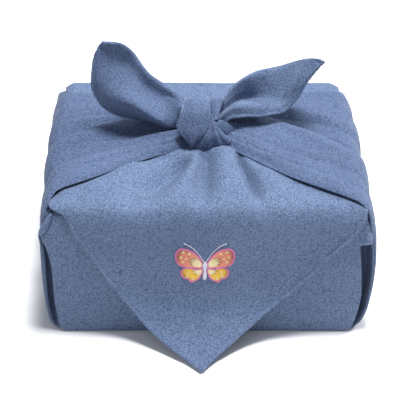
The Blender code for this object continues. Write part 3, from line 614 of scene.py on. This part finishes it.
# The side corners, from the underside up each side, over the edge and in to the knot
sideCorners = {
    "left": {
        "side": -1,
        "line": table(
            "at out high front back fold belly",
            (0.00, 98.0, 0.9, -79.0, 80.0, 0.0, 0.0),
            (0.012, 103.4, 1.6, -80.5, 81.5, 0.0, -0.6),
            (0.03, 106.6, 4.5, -81.5, 83.0, 0.0, -1.6),
            (0.06, 108.0, 11.0, -82.0, 84.0, 0.0, -2.2),
            (0.10, 109.4, 20.0, -82.4, 85.0, 0.0, -2.8),
            (0.16, 110.4, 36.0, -82.8, 85.6, 0.05, -2.8),
            (0.23, 110.8, 54.0, -83.0, 85.6, 0.15, -2.2),
            (0.28, 111.0, 68.0, -83.0, 84.0, 0.1, -1.4),
            (0.32, 110.6, 78.0, -83.0, 80.0, 0.12, -0.4),
            (0.36, 109.4, 85.5, -82.6, 77.0, 0.2, 0.4),
            (0.40, 107.0, 92.0, -80.5, 76.0, 0.35, 0.8),
            (0.44, 103.6, 97.6, -75.0, 75.5, 0.55, 1.0),
            (0.48, 98.4, 100.6, -67.0, 74.0, 0.8, 1.0),
            (0.60, 80.0, 101.4, -55.5, 70.0, 1.0, 0.8),
            (0.72, 59.0, 101.6, -41.0, 60.0, 1.0, 2.0),
            (0.83, 41.0, 102.0, -29.5, 42.0, 1.0, 4.5),
            (0.92, 26.0, 102.6, -22.0, 25.0, 0.8, 8.0),
            (1.00, 10.0, 104.0, -14.0, 12.0, 0.4, 11.0),
        ),
        "folds": table(
            "share rise",
            (0.0, 0.8), (0.02, 2.8), (0.06, 4.2), (0.14, 4.6), (0.23, 1.6), (0.28, 1.2), (0.33, 3.4),
            (0.385, 6.8), (0.42, 6.6), (0.46, 1.0), (0.50, -1.0), (0.53, 0.0), (0.585, 5.4), (0.64, 6.2),
            (0.74, 2.6), (0.82, 2.0), (0.9, 3.4), (1.0, -0.4),
        ),
        "seed": 7, "lean": 0.16,
        "creases": (                                # share at edge and knot, depth, half width at each
            (0.50, 0.64, 3.0, 3.2, 1.6), (0.27, 0.22, 2.4, 4.2, 2.4), (0.72, 0.80, 2.0, 4.4, 2.2),
            (0.13, 0.10, 1.2, 2.6, 1.4), (0.61, 0.72, 1.4, 2.4, 1.3)),
    },
    "right": {
        "side": 1,
        "line": table(
            "at out high front back fold belly",
            (0.00, 98.0, 0.9, -79.0, 80.0, 0.0, 0.0),
            (0.012, 103.6, 1.6, -80.5, 81.5, 0.0, -0.6),
            (0.03, 106.8, 4.5, -81.5, 83.0, 0.0, -1.6),
            (0.06, 108.6, 11.0, -82.0, 84.0, 0.0, -2.4),
            (0.10, 111.0, 20.0, -82.4, 85.0, 0.0, -3.2),
            (0.16, 112.8, 36.0, -82.8, 85.6, 0.05, -3.4),
            (0.23, 113.2, 54.0, -83.0, 85.6, 0.15, -2.8),
            (0.28, 112.4, 68.0, -83.6, 84.0, 0.1, -2.0),
            (0.32, 111.2, 78.0, -84.6, 80.0, 0.12, -0.8),
            (0.36, 109.6, 85.5, -84.8, 77.0, 0.2, 0.2),
            (0.40, 106.8, 92.0, -84.4, 76.0, 0.35, 0.8),
            (0.44, 102.8, 97.8, -83.0, 75.5, 0.55, 1.0),
            (0.48, 97.0, 100.6, -79.5, 74.0, 0.8, 1.0),
            (0.60, 78.0, 101.4, -67.0, 71.0, 1.0, 0.8),
            (0.72, 57.0, 101.6, -52.0, 62.0, 1.0, 2.0),
            (0.83, 39.0, 102.0, -36.0, 50.0, 1.0, 4.5),
            (0.92, 25.0, 102.6, -23.0, 28.0, 0.8, 8.0),
            (1.00, 10.0, 104.0, -11.0, 14.0, 0.4, 11.0),
        ),
        "folds": table(
            "share rise",
            (0.0, 0.4), (0.02, 2.4), (0.06, 3.6), (0.15, 3.6), (0.24, 4.8), (0.33, 7.2), (0.37, 6.6),
            (0.41, 1.2), (0.45, -0.8), (0.50, 0.2), (0.56, 2.6), (0.62, 5.8), (0.70, 6.0), (0.80, 2.8),
            (0.87, 2.4), (0.94, 3.2), (1.0, -0.4),
        ),
        "seed": 11, "lean": 0.24,
        "creases": (
            (0.43, 0.70, 3.0, 3.2, 1.6), (0.20, 0.30, 1.8, 4.4, 2.4), (0.76, 0.86, 2.0, 4.4, 2.2),
            (0.10, 0.14, 0.7, 2.6, 1.4), (0.55, 0.78, 0.9, 3.0, 1.4)),
    },
    "edgeRoll": (-1.8, 1.6), "pleatsFrom": (0.25, 0.1),         # the edges turn in, below the pleats
    "cornerRoll": (-3.2, 3.0), "cornerAt": (0.345, 0.05),       # and once more at the box's corner
    "gathers": (0.7, 6.3, 0.7), "gathersFrom": (0.62, 0.3),     # height, count and power, towards the knot
    "soft": (0.35, 44.0), "spread": (150, 210),                 # height and size, over this many mm
    "topFrom": 0.42, "calmEdge": 6.0,
    "columns": 150, "rows": 180, "thick": 1.2,
}


def sideRoll(fromFront, fromEdge, at):
    # how the edges of a side corner turn in
    high, wide = sideCorners["edgeRoll"]
    low = 1 - rising(at, *sideCorners["pleatsFrom"])
    cornerHigh, cornerWide = sideCorners["cornerRoll"]
    cornerAt, cornerLong = sideCorners["cornerAt"]
    atCorner = mound(at - cornerAt, 1, cornerLong)
    return high * np.exp(-fromEdge / wide) * low + cornerHigh * np.exp(-fromFront / cornerWide) * atCorner


def sidePleats(corner, share, at, wide):
    # the fine pleats and creases of a side corner, and how far it is from the top's edge to the knot
    high, count, power = sideCorners["gathers"]
    gathers = high * pleats(count * share + 0.2 * np.sin(5 * at) + corner["seed"], power)
    softHigh, softSize = sideCorners["soft"]
    across, along = sideCorners["spread"]
    soft = softHigh * ripple(share * across, at * along, softSize, corner["seed"])
    soft = soft + gathers * rising(at, *sideCorners["gathersFrom"])
    inwards = (at - sideCorners["topFrom"]) / (1 - sideCorners["topFrom"])
    onTop = np.clip(inwards, 0, 1)
    for edgeShare, knotShare, deep, edgeWide, knotWide in corner["creases"]:
        beside = (share - mix(edgeShare, knotShare, onTop)) * wide
        soft = soft - mound(beside, deep * ease(inwards * 4 + 1), mix(edgeWide, knotWide, onTop))
    return soft, inwards


def makeSideCorner(name, corner):
    line, folds, rows = corner["line"], corner["folds"], sideCorners["rows"]
    places = evenPlaces(line["out"], line["high"], rows + 1)
    step = 0.006

    def place(share, row):
        at = places[np.rint(row * rows).astype(int)]
        share = 0.5 - 0.5 * np.cos(math.pi * (0.12 + 0.76 * share))         # finer near both edges
        share = (share - share.min()) / (share.max() - share.min())
        before, after = np.clip(at - step, 0, 1), np.clip(at + step, 0, 1)
        runOut, runHigh = line["out"](after) - line["out"](before), line["high"](after) - line["high"](before)
        length = np.hypot(runOut, runHigh)
        wide = line["back"](at) - line["front"](at)
        fromEdge = np.minimum(share, 1 - share) * wide
        soft, inwards = sidePleats(corner, share, at, wide)
        middle = 4 * share * (1 - share)                                    # 1 in the middle, 0 at both edges
        leaning = share - corner["lean"] * ease(inwards * 1.2) * middle
        offset = (folds["rise"](leaning) * line["fold"](at) + line["belly"](at) * middle
                  + sideRoll(share * wide, fromEdge, at) + soft * ease(fromEdge / sideCorners["calmEdge"]))
        out = line["out"](at) + runHigh / length * offset
        high = line["high"](at) - runOut / length * offset
        return np.stack([corner["side"] * out, mix(line["front"](at), line["back"](at), share), high], 1)

    return clothSheet(name, sideCorners["columns"], rows, place, (corner["side"], 0, 1), shadedCrepeCloth,
                      sideCorners["thick"])


leftSide = makeSideCorner("leftSideCloth", sideCorners["left"])
rightSide = makeSideCorner("rightSideCloth", sideCorners["right"])
print("side cloth ready")


# The two tied corners that stand out of the knot, by four lines along each of them. A point of a line is
# its place in the photo, across and down, and the depth in mm at which it lies
ears = {
    "left": seenTable(
        "hem fold hollow top",
        (0.00, (176.0, 121.0, 5.0), (178.0, 126.0, -5.0), (181.0, 108.0, -4.0), (183.0, 100.1, 4.0)),
        (0.12, (163.0, 119.5, 7.0), (167.0, 125.1, -7.0), (171.0, 100.5, 5.0), (174.0, 92.6, 8.0)),
        (0.26, (150.0, 120.0, 8.0), (156.0, 119.5, -8.0), (160.0, 97.0, 9.0), (163.0, 85.2, 12.0)),
        (0.40, (138.0, 119.0, 8.0), (144.0, 111.7, -8.0), (149.0, 92.0, 12.0), (151.0, 76.9, 15.0)),
        (0.53, (124.0, 116.6, 8.0), (131.1, 103.3, -6.0), (140.0, 83.0, 13.0), (142.1, 67.7, 16.0)),
        (0.66, (110.0, 111.5, 6.0), (117.0, 97.0, -3.0), (131.0, 71.0, 12.0), (135.5, 58.1, 15.0)),
        (0.78, (99.0, 102.0, 4.0), (106.0, 88.0, 0.0), (121.0, 61.0, 11.0), (128.5, 49.8, 12.0)),
        (0.90, (91.8, 84.0, 3.0), (98.0, 70.0, 3.0), (110.0, 53.0, 9.0), (119.3, 44.6, 10.0)),
        (1.00, (94.2, 55.0, 6.0), (96.5, 50.0, 6.0), (98.6, 46.0, 7.0), (101.5, 42.5, 7.0)),
    ),
    "right": seenTable(
        "hem fold hollow top",
        (0.00, (218.0, 126.0, -4.0), (215.0, 122.0, -6.0), (214.5, 120.0, 0.0), (212.0, 117.0, 3.0)),
        (0.14, (226.0, 121.5, -5.0), (226.0, 111.0, -3.0), (226.5, 109.0, 11.0), (223.0, 101.5, 10.0)),
        (0.28, (235.0, 118.0, -5.0), (236.5, 103.5, 0.0), (239.5, 101.0, 22.0), (233.5, 87.0, 18.0)),
        (0.42, (247.0, 117.0, -3.0), (248.0, 103.0, 3.0), (252.5, 99.5, 26.0), (247.0, 77.5, 24.5)),
        (0.56, (262.0, 117.0, 2.0), (262.0, 105.5, 7.0), (265.0, 98.0, 23.0), (262.0, 72.0, 30.0)),
        (0.70, (281.0, 113.5, 7.0), (280.0, 104.5, 11.0), (280.4, 93.1, 18.5), (281.0, 67.4, 31.0)),
        (0.82, (295.5, 100.5, 12.0), (295.0, 94.0, 13.0), (295.0, 81.5, 15.5), (298.0, 62.2, 26.0)),
        (0.92, (306.5, 82.5, 13.0), (307.5, 77.0, 13.0), (309.5, 69.1, 16.0), (311.5, 60.0, 19.0)),
        (0.965, (314.5, 72.0, 13.0), (315.5, 69.5, 13.0), (317.0, 65.5, 14.0), (318.5, 60.4, 16.0)),
        (1.00, (322.5, 63.6, 12.0), (323.3, 63.2, 12.0), (323.9, 62.7, 12.0), (324.4, 62.3, 12.0)),
    ),
    "curl": (1.0, 6.5, -4.5), "curlEnds": (0.2, 0.3),           # past the top line the edge curls back
    "curlFoot": (0.3, 0.4, 0.0),
    "creaseHigh": 0.9, "creases": {"left": 3.4, "right": 4.3}, "creasesEnd": (0.12, 0.5),
    "soft": (0.3, 34.0), "spread": (45, 110), "seeds": {"left": 4, "right": 5},
    "calmEdge": 0.12,
    "columns": 70, "rows": 130, "thick": 1.3,
}


def earMiddle(which, share, at):
    # the middle of the cloth's thickness, through the four lines and round the curl
    lines = [pointsOf(ears[which], line, at) for line in ("hem", "fold", "hollow", "top")]
    knotEnd, tipEnd = ears["curlEnds"]
    fade = (ease(at / knotEnd) * ease((1 - at) / tipEnd))[:, None]
    return through([*lines, lines[-1] + np.array(ears["curl"]) * fade + ears["curlFoot"]], share)


def earSurface(which, share, at):
    # the same with the small creases that run out of the knot
    step = 0.015
    right, left = np.clip(share + step, 0, 1), np.clip(share - step, 0, 1)
    wide = earMiddle(which, right, at) - earMiddle(which, left, at)
    ahead, behind = np.clip(at + step, 0, 1), np.clip(at - step, 0, 1)
    along = earMiddle(which, share, ahead) - earMiddle(which, share, behind)
    outward = unit(np.cross(wide, along))
    near = 1 - rising(at, *ears["creasesEnd"])
    ridges = ears["creaseHigh"] * near * pleats(ears["creases"][which] * share + 0.35 * np.sin(3 * at), 0.8)
    high, size = ears["soft"]
    acrossMm, alongMm = ears["spread"]
    soft = high * ripple(share * acrossMm, at * alongMm, size, ears["seeds"][which])
    offset = (ridges + soft) * ease(np.minimum(share, 1 - share) / ears["calmEdge"])
    return earMiddle(which, share, at) + outward * offset[:, None]


def makeEar(name, which, cloth):
    towardsViewer, centred = (0, -1, 0), 0.0
    return clothSheet(name, ears["columns"], ears["rows"], partial(earSurface, which), towardsViewer, cloth,
                      ears["thick"], centred)


leftEar = makeEar("leftEar", "left", shadedCrepeCloth)
rightEar = makeEar("rightEar", "right", crepeCloth)
print("ears ready")


# The square knot: tight laps over a gathered middle, each between two edge lines that turn in. The edges
# are places in the photo with their depth, as the ears' lines are
knot = {
    "middle": (-1.0, 0.0, 112.0),
    "core": table(
        "at x y z wide thick",
        (0.0, -18.2, 0.0, 112.0, 5.0, 5.0), (0.2, -12.2, -1.0, 112.0, 9.5, 9.5),
        (0.5, -1.2, -1.0, 113.0, 11.5, 11.5), (0.8, 10.8, -1.0, 111.0, 9.5, 9.5),
        (1.0, 19.8, 0.0, 110.0, 5.0, 5.0)),
    "coreSquare": 0.85, "corePleats": (0.05, 6, 0.6),           # pleats: share of its size, count and power
    "crown": ((0.08, 0.45), (0.28, 0.9), (0.5, 1.0), (0.72, 0.9), (0.92, 0.45)),    # a lap's bulge, across it
    "turnIn": ((1.6, -0.1), (0.2, 0.0)), "tuckIn": 0.8,         # its edges: inwards, and back under the lap
    "creasesFrom": 0.3,
    "rows": 70, "columns": 84, "around": 72, "thick": 1.1,
}
knotLaps = {                                                    # creases: share, lean, half width, depth
    "frontLap": {
        "edges": seenTable(
            "left right",
            (0.00, (184.7, 114.8, 13.0), (206.3, 114.8, 13.0)),
            (0.15, (184.5, 102.0, 5.0), (209.0, 101.5, 5.0)),
            (0.30, (184.6, 105.1, -4.0), (209.6, 104.0, -4.0)),
            (0.45, (180.5, 114.0, -10.5), (210.0, 112.5, -10.0)),
            (0.60, (176.0, 126.0, -14.0), (208.5, 123.0, -14.0)),
            (0.78, (182.0, 136.5, -17.5), (204.5, 134.5, -17.5)),
            (0.92, (188.5, 144.0, -18.5), (197.5, 142.5, -18.5)),
            (1.00, (191.5, 147.5, -16.5), (194.0, 147.5, -16.5))),
        "bulge": 2.6, "tuck": 5.0, "creases": ((0.34, 0.10, 0.05, -0.5), (0.72, -0.16, 0.04, -0.45)),
    },
    "lowLap": {
        "edges": seenTable(
            "left right",
            (0.00, (209.5, 115.0, -8.0), (212.0, 117.0, -7.0)),
            (0.35, (206.0, 128.0, -13.5), (219.0, 128.0, -12.0)),
            (0.70, (199.0, 140.0, -17.5), (227.0, 136.6, -14.0)),
            (0.90, (194.0, 147.5, -18.0), (232.0, 142.0, -14.0)),
            (1.00, (196.0, 152.0, -15.0), (230.5, 145.5, -10.5))),
        "bulge": 2.2, "tuck": 4.5,
        "creases": ((0.46, 0.10, 0.035, -0.9), (0.60, 0.04, 0.03, -0.8), (0.78, 0.0, 0.05, -0.5)),
    },
    "backLap": {
        "edges": seenTable(
            "left right",
            (0.00, (207.6, 116.6, 14.0), (224.8, 116.6, 14.0)),
            (0.30, (211.5, 102.6, 3.0), (222.0, 100.5, 5.0)),
            (0.65, (212.0, 111.0, -3.0), (219.0, 109.5, -1.0)),
            (1.00, (213.0, 121.0, -8.0), (216.0, 121.0, -6.0))),
        "bulge": 2.0, "tuck": 5.0, "creases": (),
    },
}


def makeLap(name, lap):
    middle = np.array(knot["middle"])
    turnIn = [(lap["tuck"], knot["tuckIn"]), *knot["turnIn"]]

    def place(share, row):
        left, right = [pointsOf(lap["edges"], edge, row) for edge in ("left", "right")]
        inward = unit(middle - (left + right) / 2)
        across = unit(right - left)
        points = [left + inward * deep + across * back for deep, back in turnIn]
        points += [mix(left, right, spot) - inward * high * lap["bulge"] for spot, high in knot["crown"]]
        points += [right + inward * deep - across * back for deep, back in reversed(turnIn)]
        crease = np.zeros_like(share)
        for start, lean, wide, deep in lap["creases"]:
            crease = crease + mound(share - start - lean * (row - 0.5), deep, wide)
        crease = crease * ease(row / knot["creasesFrom"])
        return through(points, share) - inward * crease[:, None]

    forwardsAndUp = (0.1, -1, 0.4)
    return clothSheet(name, knot["columns"], knot["rows"], place, forwardsAndUp, shadedCrepeCloth, knot["thick"])


def makeKnotCore():
    at = np.linspace(0, 1, knot["rows"] + 1)
    core = knot["core"]
    points = np.stack([core[axis](at) for axis in "xyz"], 1)
    upwards = np.tile([0.0, 0.0, 1.0], (len(at), 1))
    high, count, power = knot["corePleats"]

    def crease(share, row):
        return 1 + high * pleats(count * share + 0.12 * np.sin(7 * row), power)

    return sweptPiece("knotCore", (points, upwards), core["wide"](at), core["thick"](at), knot["coreSquare"],
                      shadedCrepeCloth, knot["around"], crease)


laps = {name: makeLap(name, lap) for name, lap in knotLaps.items()}
laps["knotCore"] = makeKnotCore()
print("knot ready")


# Narrow rolled hems, on the edges of the cloth that show
hemLook = {
    "half": 1.25, "thick": 1.0, "inset": 0.8, "square": 0.8, "rows": 160, "around": 14,
    "taper": 4, "tip": 0.25,                        # over so many rows an end narrows to this share
}


def makeHem(name, surface, share, start, end):
    # along the edge of a surface where its share is 0 or 1, from start to end
    count = hemLook["rows"]
    at = np.linspace(start, end, count)
    edge = surface(np.full(count, share), at)
    inwards = 0.02 if share < 0.5 else -0.02
    inside = surface(np.full(count, share + inwards), at)
    across = unit(inside - edge)
    points = edge + across * hemLook["half"] * hemLook["inset"]
    fromEnd = np.minimum(np.arange(count), np.arange(count)[::-1])
    ends = np.clip(fromEnd / hemLook["taper"], hemLook["tip"], 1)
    wide, thick = [np.full(count, hemLook[size]) * ends for size in ("half", "thick")]
    return sweptPiece(name, (points, across), wide, thick, hemLook["square"], crepeCloth, hemLook["around"])


leftSurface, rightSurface = partial(earSurface, "left"), partial(earSurface, "right")
flapHems = [makeHem("hangingCornerHemLeft", flapSurface, 0.0, 0.70, 0.997),
            makeHem("hangingCornerHemRight", flapSurface, 1.0, 0.66, 0.997)]
leftEarHems = [makeHem("leftEarHemOuter", leftSurface, 0.0, 0.16, 1.0),
               makeHem("leftEarHemInner", leftSurface, 1.0, 0.16, 1.0)]
rightEarHems = [makeHem("rightEarHemLower", rightSurface, 0.0, 0.16, 1.0),
                makeHem("rightEarHemUpper", rightSurface, 1.0, 0.16, 1.0)]
print("hems ready")


# The butterfly: satin stitches side by side over the hanging corner's face. The left mirrors the right
butterfly = {
    "middle": (-1.5, 55.5),                         # x and z on the wrap; the other places are from there
    "upper": {
        "outline": ((1.3, 1.8), (4.8, 8.4), (10.8, 13.0), (17.0, 13.6), (19.8, 8.6), (17.6, 1.4), (9.6, -1.0),
                    (3.0, -0.8)),
        "root": (1.6, 0.6), "fan": 0.46,            # the pale fan's share of the wing
        "dots": ((10.4, 9.8, 0.9), (14.4, 11.0, 1.0), (15.8, 7.2, 0.9), (12.4, 6.0, 0.8), (14.6, 3.6, 0.8)),
        "field": salmonThread, "slot": "salmon_thread",
    },
    "lower": {
        "outline": ((1.3, -1.4), (7.5, -2.0), (14.2, -1.2), (16.2, -4.6), (14.2, -8.6), (11.6, -9.2),
                    (9.0, -11.6), (6.0, -10.4), (3.2, -8.0)),
        "root": (2.0, -2.4), "fan": 0.4,
        "dots": ((11.0, -4.2, 0.8), (11.6, -7.2, 0.9), (8.2, -8.8, 0.8)),
        "field": goldThread, "slot": "gold_thread",
    },
    "body": table("z half", (-9.6, 0.5), (-7.8, 1.3), (-5.4, 1.25), (-2.6, 0.75), (-0.6, 1.5), (1.2, 1.7),
                  (2.8, 1.0), (4.0, 0.5)),
    "bodyFrom": -9.5, "bodyTo": 4.0,
    "antenna": table("at x z", (0.0, 0.7, 3.6), (0.4, 4.4, 9.6), (0.75, 9.4, 15.2), (1.0, 13.4, 17.6)),
    "antennaStitches": 9, "antennaWide": 0.55, "tipWide": 0.9,
    "thread": 0.46, "threadThick": 0.62,
    "spokes": 0.8, "fieldEnd": 0.97,                # stitches to a thread's width at the rim; their end
    "jag": (0.05, 2.4), "lobes": (0.82, 0.18, 0.42),            # the fan's uneven ends: sizes and frequencies
    "fanFrom": 0.3, "fanOver": 0.5, "fanThread": 1.1,
    "border": 1.15, "borderOver": 0.15, "borderUneven": (0.9, 0.12, 3.1), "borderApart": 0.9,
    "dotRows": 0.4, "bodyRows": 0.85, "bodyThread": 1.15, "bodySlant": 0.12,
    "proud": 0.3, "fanProud": 0.4, "borderProud": 0.44, "dotProud": 0.58, "bodyProud": 0.64,
    "sunk": 0.12, "overlap": 0.3, "shortest": 0.2, "leastField": 0.5, "leastReach": 1.2,
    "faceWide": 24, "faceLow": 18, "faceHigh": 24,  # the measured face reaches this far round the middle
}
fieldSlot, borderSlot, fanSlot, dotSlot = range(4)


def faceDepths():
    # how far forward the hanging corner's face lies, on a grid of motif places 1 mm apart
    line, at = hangingCorner["line"], np.linspace(0.70, 0.95, 160)
    wide, low, high = butterfly["faceWide"], butterfly["faceLow"], butterfly["faceHigh"]
    x, z = np.meshgrid(np.arange(-wide, wide + 1.0), np.arange(-low, high + 1.0))
    x, z = x + butterfly["middle"][0], z + butterfly["middle"][1]
    place = np.interp(z.ravel(), line["z"](at)[::-1], at[::-1])
    share = (x.ravel() - line["left"](place)) / (line["right"](place) - line["left"](place))
    return flapSurface(share, place)[:, 1].reshape(x.shape)


motifDepths = faceDepths()


def onFace(x, z, proud):
    # the place of a motif point on the hanging corner, proud of the cloth
    across, up = x + butterfly["faceWide"], z + butterfly["faceLow"]
    column, row = int(across), int(up)
    near = motifDepths[row:row + 2, column:column + 2]
    lower, upper = [mix(pair[0], pair[1], across - column) for pair in near]
    y = mix(lower, upper, up - row) - proud
    return Vector((butterfly["middle"][0] + x, y, butterfly["middle"][1] + z)) * mm


def spindle():
    # the mesh of one stitch, a thin spindle along X that goes into the cloth at both ends
    bm = bmesh.new()
    alongX = Matrix.Rotation(math.pi / 2, 4, "Y")
    bmesh.ops.create_uvsphere(bm, u_segments=6, v_segments=5, radius=0.5, matrix=alongX)
    mesh = bpy.data.meshes.new("spindle")
    bm.to_mesh(mesh)
    bm.free()
    return mesh


stitchMesh = spindle()


def addStitch(bm, start, end, proud, index, wide):
    # one satin stitch between two motif points
    a, b = [onFace(*spot, proud - butterfly["sunk"]) for spot in (start, end)]
    run = b - a
    length = run.length
    if length < butterfly["shortest"] * mm:
        return
    run.normalize()
    across = run.cross(Vector((0, -1, 0))).normalized()
    turn = Matrix((run, across, across.cross(run))).transposed().to_4x4()
    long, high = length + butterfly["overlap"] * mm, butterfly["threadThick"] * mm
    placed = Matrix.Translation((a + b) / 2) @ turn @ Matrix.Diagonal((long, wide * mm, high, 1.0))
    stitchMesh.transform(placed)
    stitchMesh.polygons.foreach_set("material_index", [index] * len(stitchMesh.polygons))
    bm.from_mesh(stitchMesh)
    stitchMesh.transform(placed.inverted())


def closedCurve(points, count):
    ring = [np.array(point, float) for point in points]
    wrapped = [ring[-1], *ring, ring[0], ring[1]]
    spans = len(wrapped) - 1
    shares = (1 + np.arange(count) * len(ring) / count) / spans
    return through(wrapped, shares)


def reachAlong(outline, root, direction):
    # how far the outline is from the root in one direction
    a, b = outline - root, np.roll(outline, -1, 0) - root
    edge = b - a
    cross = direction[0] * edge[:, 1] - direction[1] * edge[:, 0]
    safe = np.where(np.abs(cross) < 1e-9, 1e-9, cross)
    far = (a[:, 0] * edge[:, 1] - a[:, 1] * edge[:, 0]) / safe
    share = (a[:, 0] * direction[1] - a[:, 1] * direction[0]) / safe
    good = (far > 0) & (share >= 0) & (share <= 1)
    return far[good].max() if good.any() else 0.0


def fieldStitches(stitch, outline, root, fan):
    # the wing's colour out to its border, and the pale fan over its root, with uneven lengths
    thread = butterfly["thread"]
    angles = np.unwrap(np.arctan2(outline[:, 1] - root[1], outline[:, 0] - root[0]))
    low, high = angles.min(), angles.max()
    farthest = np.linalg.norm(outline - root, axis=1).max()
    count = int(min(high - low, 2 * math.pi) * farthest * butterfly["spokes"] / thread)
    jagHigh, jagOften = butterfly["jag"]
    lobeLow, lobeHigh, lobeOften = butterfly["lobes"]
    for i in range(count):
        angle = low + (high - low) * (i + 0.5) / count
        direction = np.array([math.cos(angle), math.sin(angle)])
        far = reachAlong(outline, root, direction)
        if far < butterfly["leastReach"]:
            continue
        jag = jagHigh * math.sin(i * jagOften)
        lobe = fan * (lobeLow + lobeHigh * abs(math.sin(i * lobeOften)))
        inner, outer = far * (lobe + jag), far * butterfly["fieldEnd"]
        if outer - inner > butterfly["leastField"]:
            start, end = root + direction * inner, root + direction * outer
            stitch(start, end, butterfly["proud"], fieldSlot, thread)
        if i % 2 == 0:
            start = root + direction * butterfly["fanFrom"]
            end = root + direction * (inner + butterfly["fanOver"] + jag)
            stitch(start, end, butterfly["fanProud"], fanSlot, thread * butterfly["fanThread"])


def borderStitches(stitch, outline, root):
    # short stitches across the edge, all the way round
    closed, step = np.vstack([outline, outline[:1]]), 0.3
    far = np.concatenate([[0], np.cumsum(np.linalg.norm(np.diff(closed, axis=0), axis=1))])
    middle = root + 0.5
    least, uneven, often = butterfly["borderUneven"]
    for place in np.arange(0, far[-1], butterfly["thread"] * butterfly["borderApart"]):
        spot, ahead = [np.array([np.interp(along, far, closed[:, 0]), np.interp(along, far, closed[:, 1])])
                       for along in (place, (place + step) % far[-1])]
        run = unit(ahead - spot)
        inward = np.array([-run[1], run[0]])
        if np.dot(middle - spot, inward) < 0:
            inward = -inward
        reach = butterfly["border"] * (least + uneven * math.sin(place * often))
        start, end = spot - inward * butterfly["borderOver"], spot + inward * reach
        stitch(start, end, butterfly["borderProud"], borderSlot, butterfly["thread"])


def dotStitches(stitch, dots):
    # five level stitches to a dot
    apart = butterfly["dotRows"]
    for x, z, radius in dots:
        for k in range(-2, 3):
            half = math.sqrt(max(radius ** 2 - (k * apart) ** 2, 0.02))
            stitch((x - half, z + k * apart), (x + half, z + k * apart), butterfly["dotProud"], dotSlot,
                   butterfly["thread"])


def makeWing(name, node, side, wing):
    bm = bmesh.new()
    outline, root = closedCurve(wing["outline"], 72), np.array(wing["root"])

    def stitch(start, end, proud, index, wide):
        addStitch(bm, (side * start[0], start[1]), (side * end[0], end[1]), proud, index, wide)

    fieldStitches(stitch, outline, root, wing["fan"])
    borderStitches(stitch, outline, root)
    dotStitches(stitch, wing["dots"])
    obj = finishPiece(name, bm, [wing["field"], pinkThread, creamThread, creamThread])
    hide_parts(node)
    return obj


def makeMotifBody():
    bm = bmesh.new()
    thread = butterfly["thread"]
    for z in np.arange(butterfly["bodyFrom"], butterfly["bodyTo"], thread * butterfly["bodyRows"]):
        half = float(butterfly["body"]["half"](z))
        start, end = (-half, z), (half, z + butterfly["bodySlant"])
        addStitch(bm, start, end, butterfly["bodyProud"], 0, thread * butterfly["bodyThread"])
    obj = finishPiece("motifBody", bm, [ivoryThread])
    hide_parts("motif_body")
    return obj


def makeAntenna(name, node, side):
    bm = bmesh.new()
    places = np.linspace(0, 1, butterfly["antennaStitches"] + 1)
    x, z = side * butterfly["antenna"]["x"](places), butterfly["antenna"]["z"](places)
    for i in range(butterfly["antennaStitches"]):
        addStitch(bm, (x[i], z[i]), (x[i + 1], z[i + 1]), butterfly["proud"], 0, butterfly["antennaWide"])
    tipFrom, tipTo = (x[-1] - side * 0.3, z[-1] - 0.1), (x[-1] + side * 0.5, z[-1] + 0.2)
    addStitch(bm, tipFrom, tipTo, butterfly["fanProud"], 0, butterfly["tipWide"])
    obj = finishPiece(name, bm, [ivoryThread])
    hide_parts(node)
    return obj


for side, word in ((1, "right"), (-1, "left")):
    title = word.capitalize()
    for wing in ("upper", "lower"):
        makeWing(f"{wing}Wing{title}", f"{wing}_wing_{word}", side, butterfly[wing])
    makeAntenna("antenna" + title, "antenna_" + word, side)
makeMotifBody()
bpy.data.meshes.remove(stitchMesh)
print("butterfly ready")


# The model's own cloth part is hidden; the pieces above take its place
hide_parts("cloth")


# Floor, light and camera
studio = {
    "floor": "#f8f8f8", "floorHalf": 3.0, "floorRoughness": 0.9,
    "world": "#ecf3ff", "worldStrength": 0.34,
    "lights": {                                     # place, target, size in metres and watts
        "keyLight": ((0.10, -0.06, 1.40), (0, 0, 0.06), 0.36, 29.0),
        "rakeLight": ((1.05, 0.42, 0.90), (0, 0, 0.10), 0.30, 12.0),            # over the top's grain
        "fillLight": ((-0.5, -1.3, 0.8), (0, 0, 0.06), 1.0, 2.4),
    },
}


def areaLight(name, place, target, size, power):
    data = bpy.data.lights.new(name, "AREA")
    data.energy = power
    data.size = size
    light = bpy.data.objects.new(name, data)
    light.location = place
    light.rotation_euler = (Vector(target) - Vector(place)).to_track_quat("-Z", "Y").to_euler()
    bpy.context.scene.collection.objects.link(light)


def paleFloor():
    bm = bmesh.new()
    bmesh.ops.create_grid(bm, x_segments=1, y_segments=1, size=studio["floorHalf"])
    mesh = bpy.data.meshes.new("floor")
    bm.to_mesh(mesh)
    bm.free()
    floor = bpy.data.objects.new("floor", mesh)
    bpy.context.scene.collection.objects.link(floor)
    material, tree, shader = newMaterial("paintedPaleFloor", studio["floorRoughness"])
    shader.inputs["Base Color"].default_value = toLinear(studio["floor"])
    mesh.materials.append(material)


def softWorld():
    world = bpy.data.worlds.new("softStudio")
    world.use_nodes = True
    background = world.node_tree.nodes["Background"]
    background.inputs["Color"].default_value = toLinear(studio["world"])
    background.inputs["Strength"].default_value = studio["worldStrength"]
    bpy.context.scene.world = world
    bpy.context.scene.view_settings.view_transform = "Standard"


paleFloor()
for name, light in studio["lights"].items():
    areaLight(name, *light)
softWorld()

cameraData = bpy.data.cameras.new("camera")
cameraData.lens = cameraView["lens"]
cameraData.sensor_width = cameraView["sensor"]
cameraData.shift_x = cameraView["aside"] / cameraView["picture"]
cameraData.clip_start = 0.01
camera = bpy.data.objects.new("camera", cameraData)
backwards = Vector((0, -math.cos(pitch), math.sin(pitch)))
camera.location = Vector(cameraView["target"]) + backwards * cameraView["distance"]
camera.rotation_euler = (-backwards).to_track_quat("-Z", "Y").to_euler()
bpy.context.scene.collection.objects.link(camera)
bpy.context.scene.camera = camera
print("floor, light and camera ready")
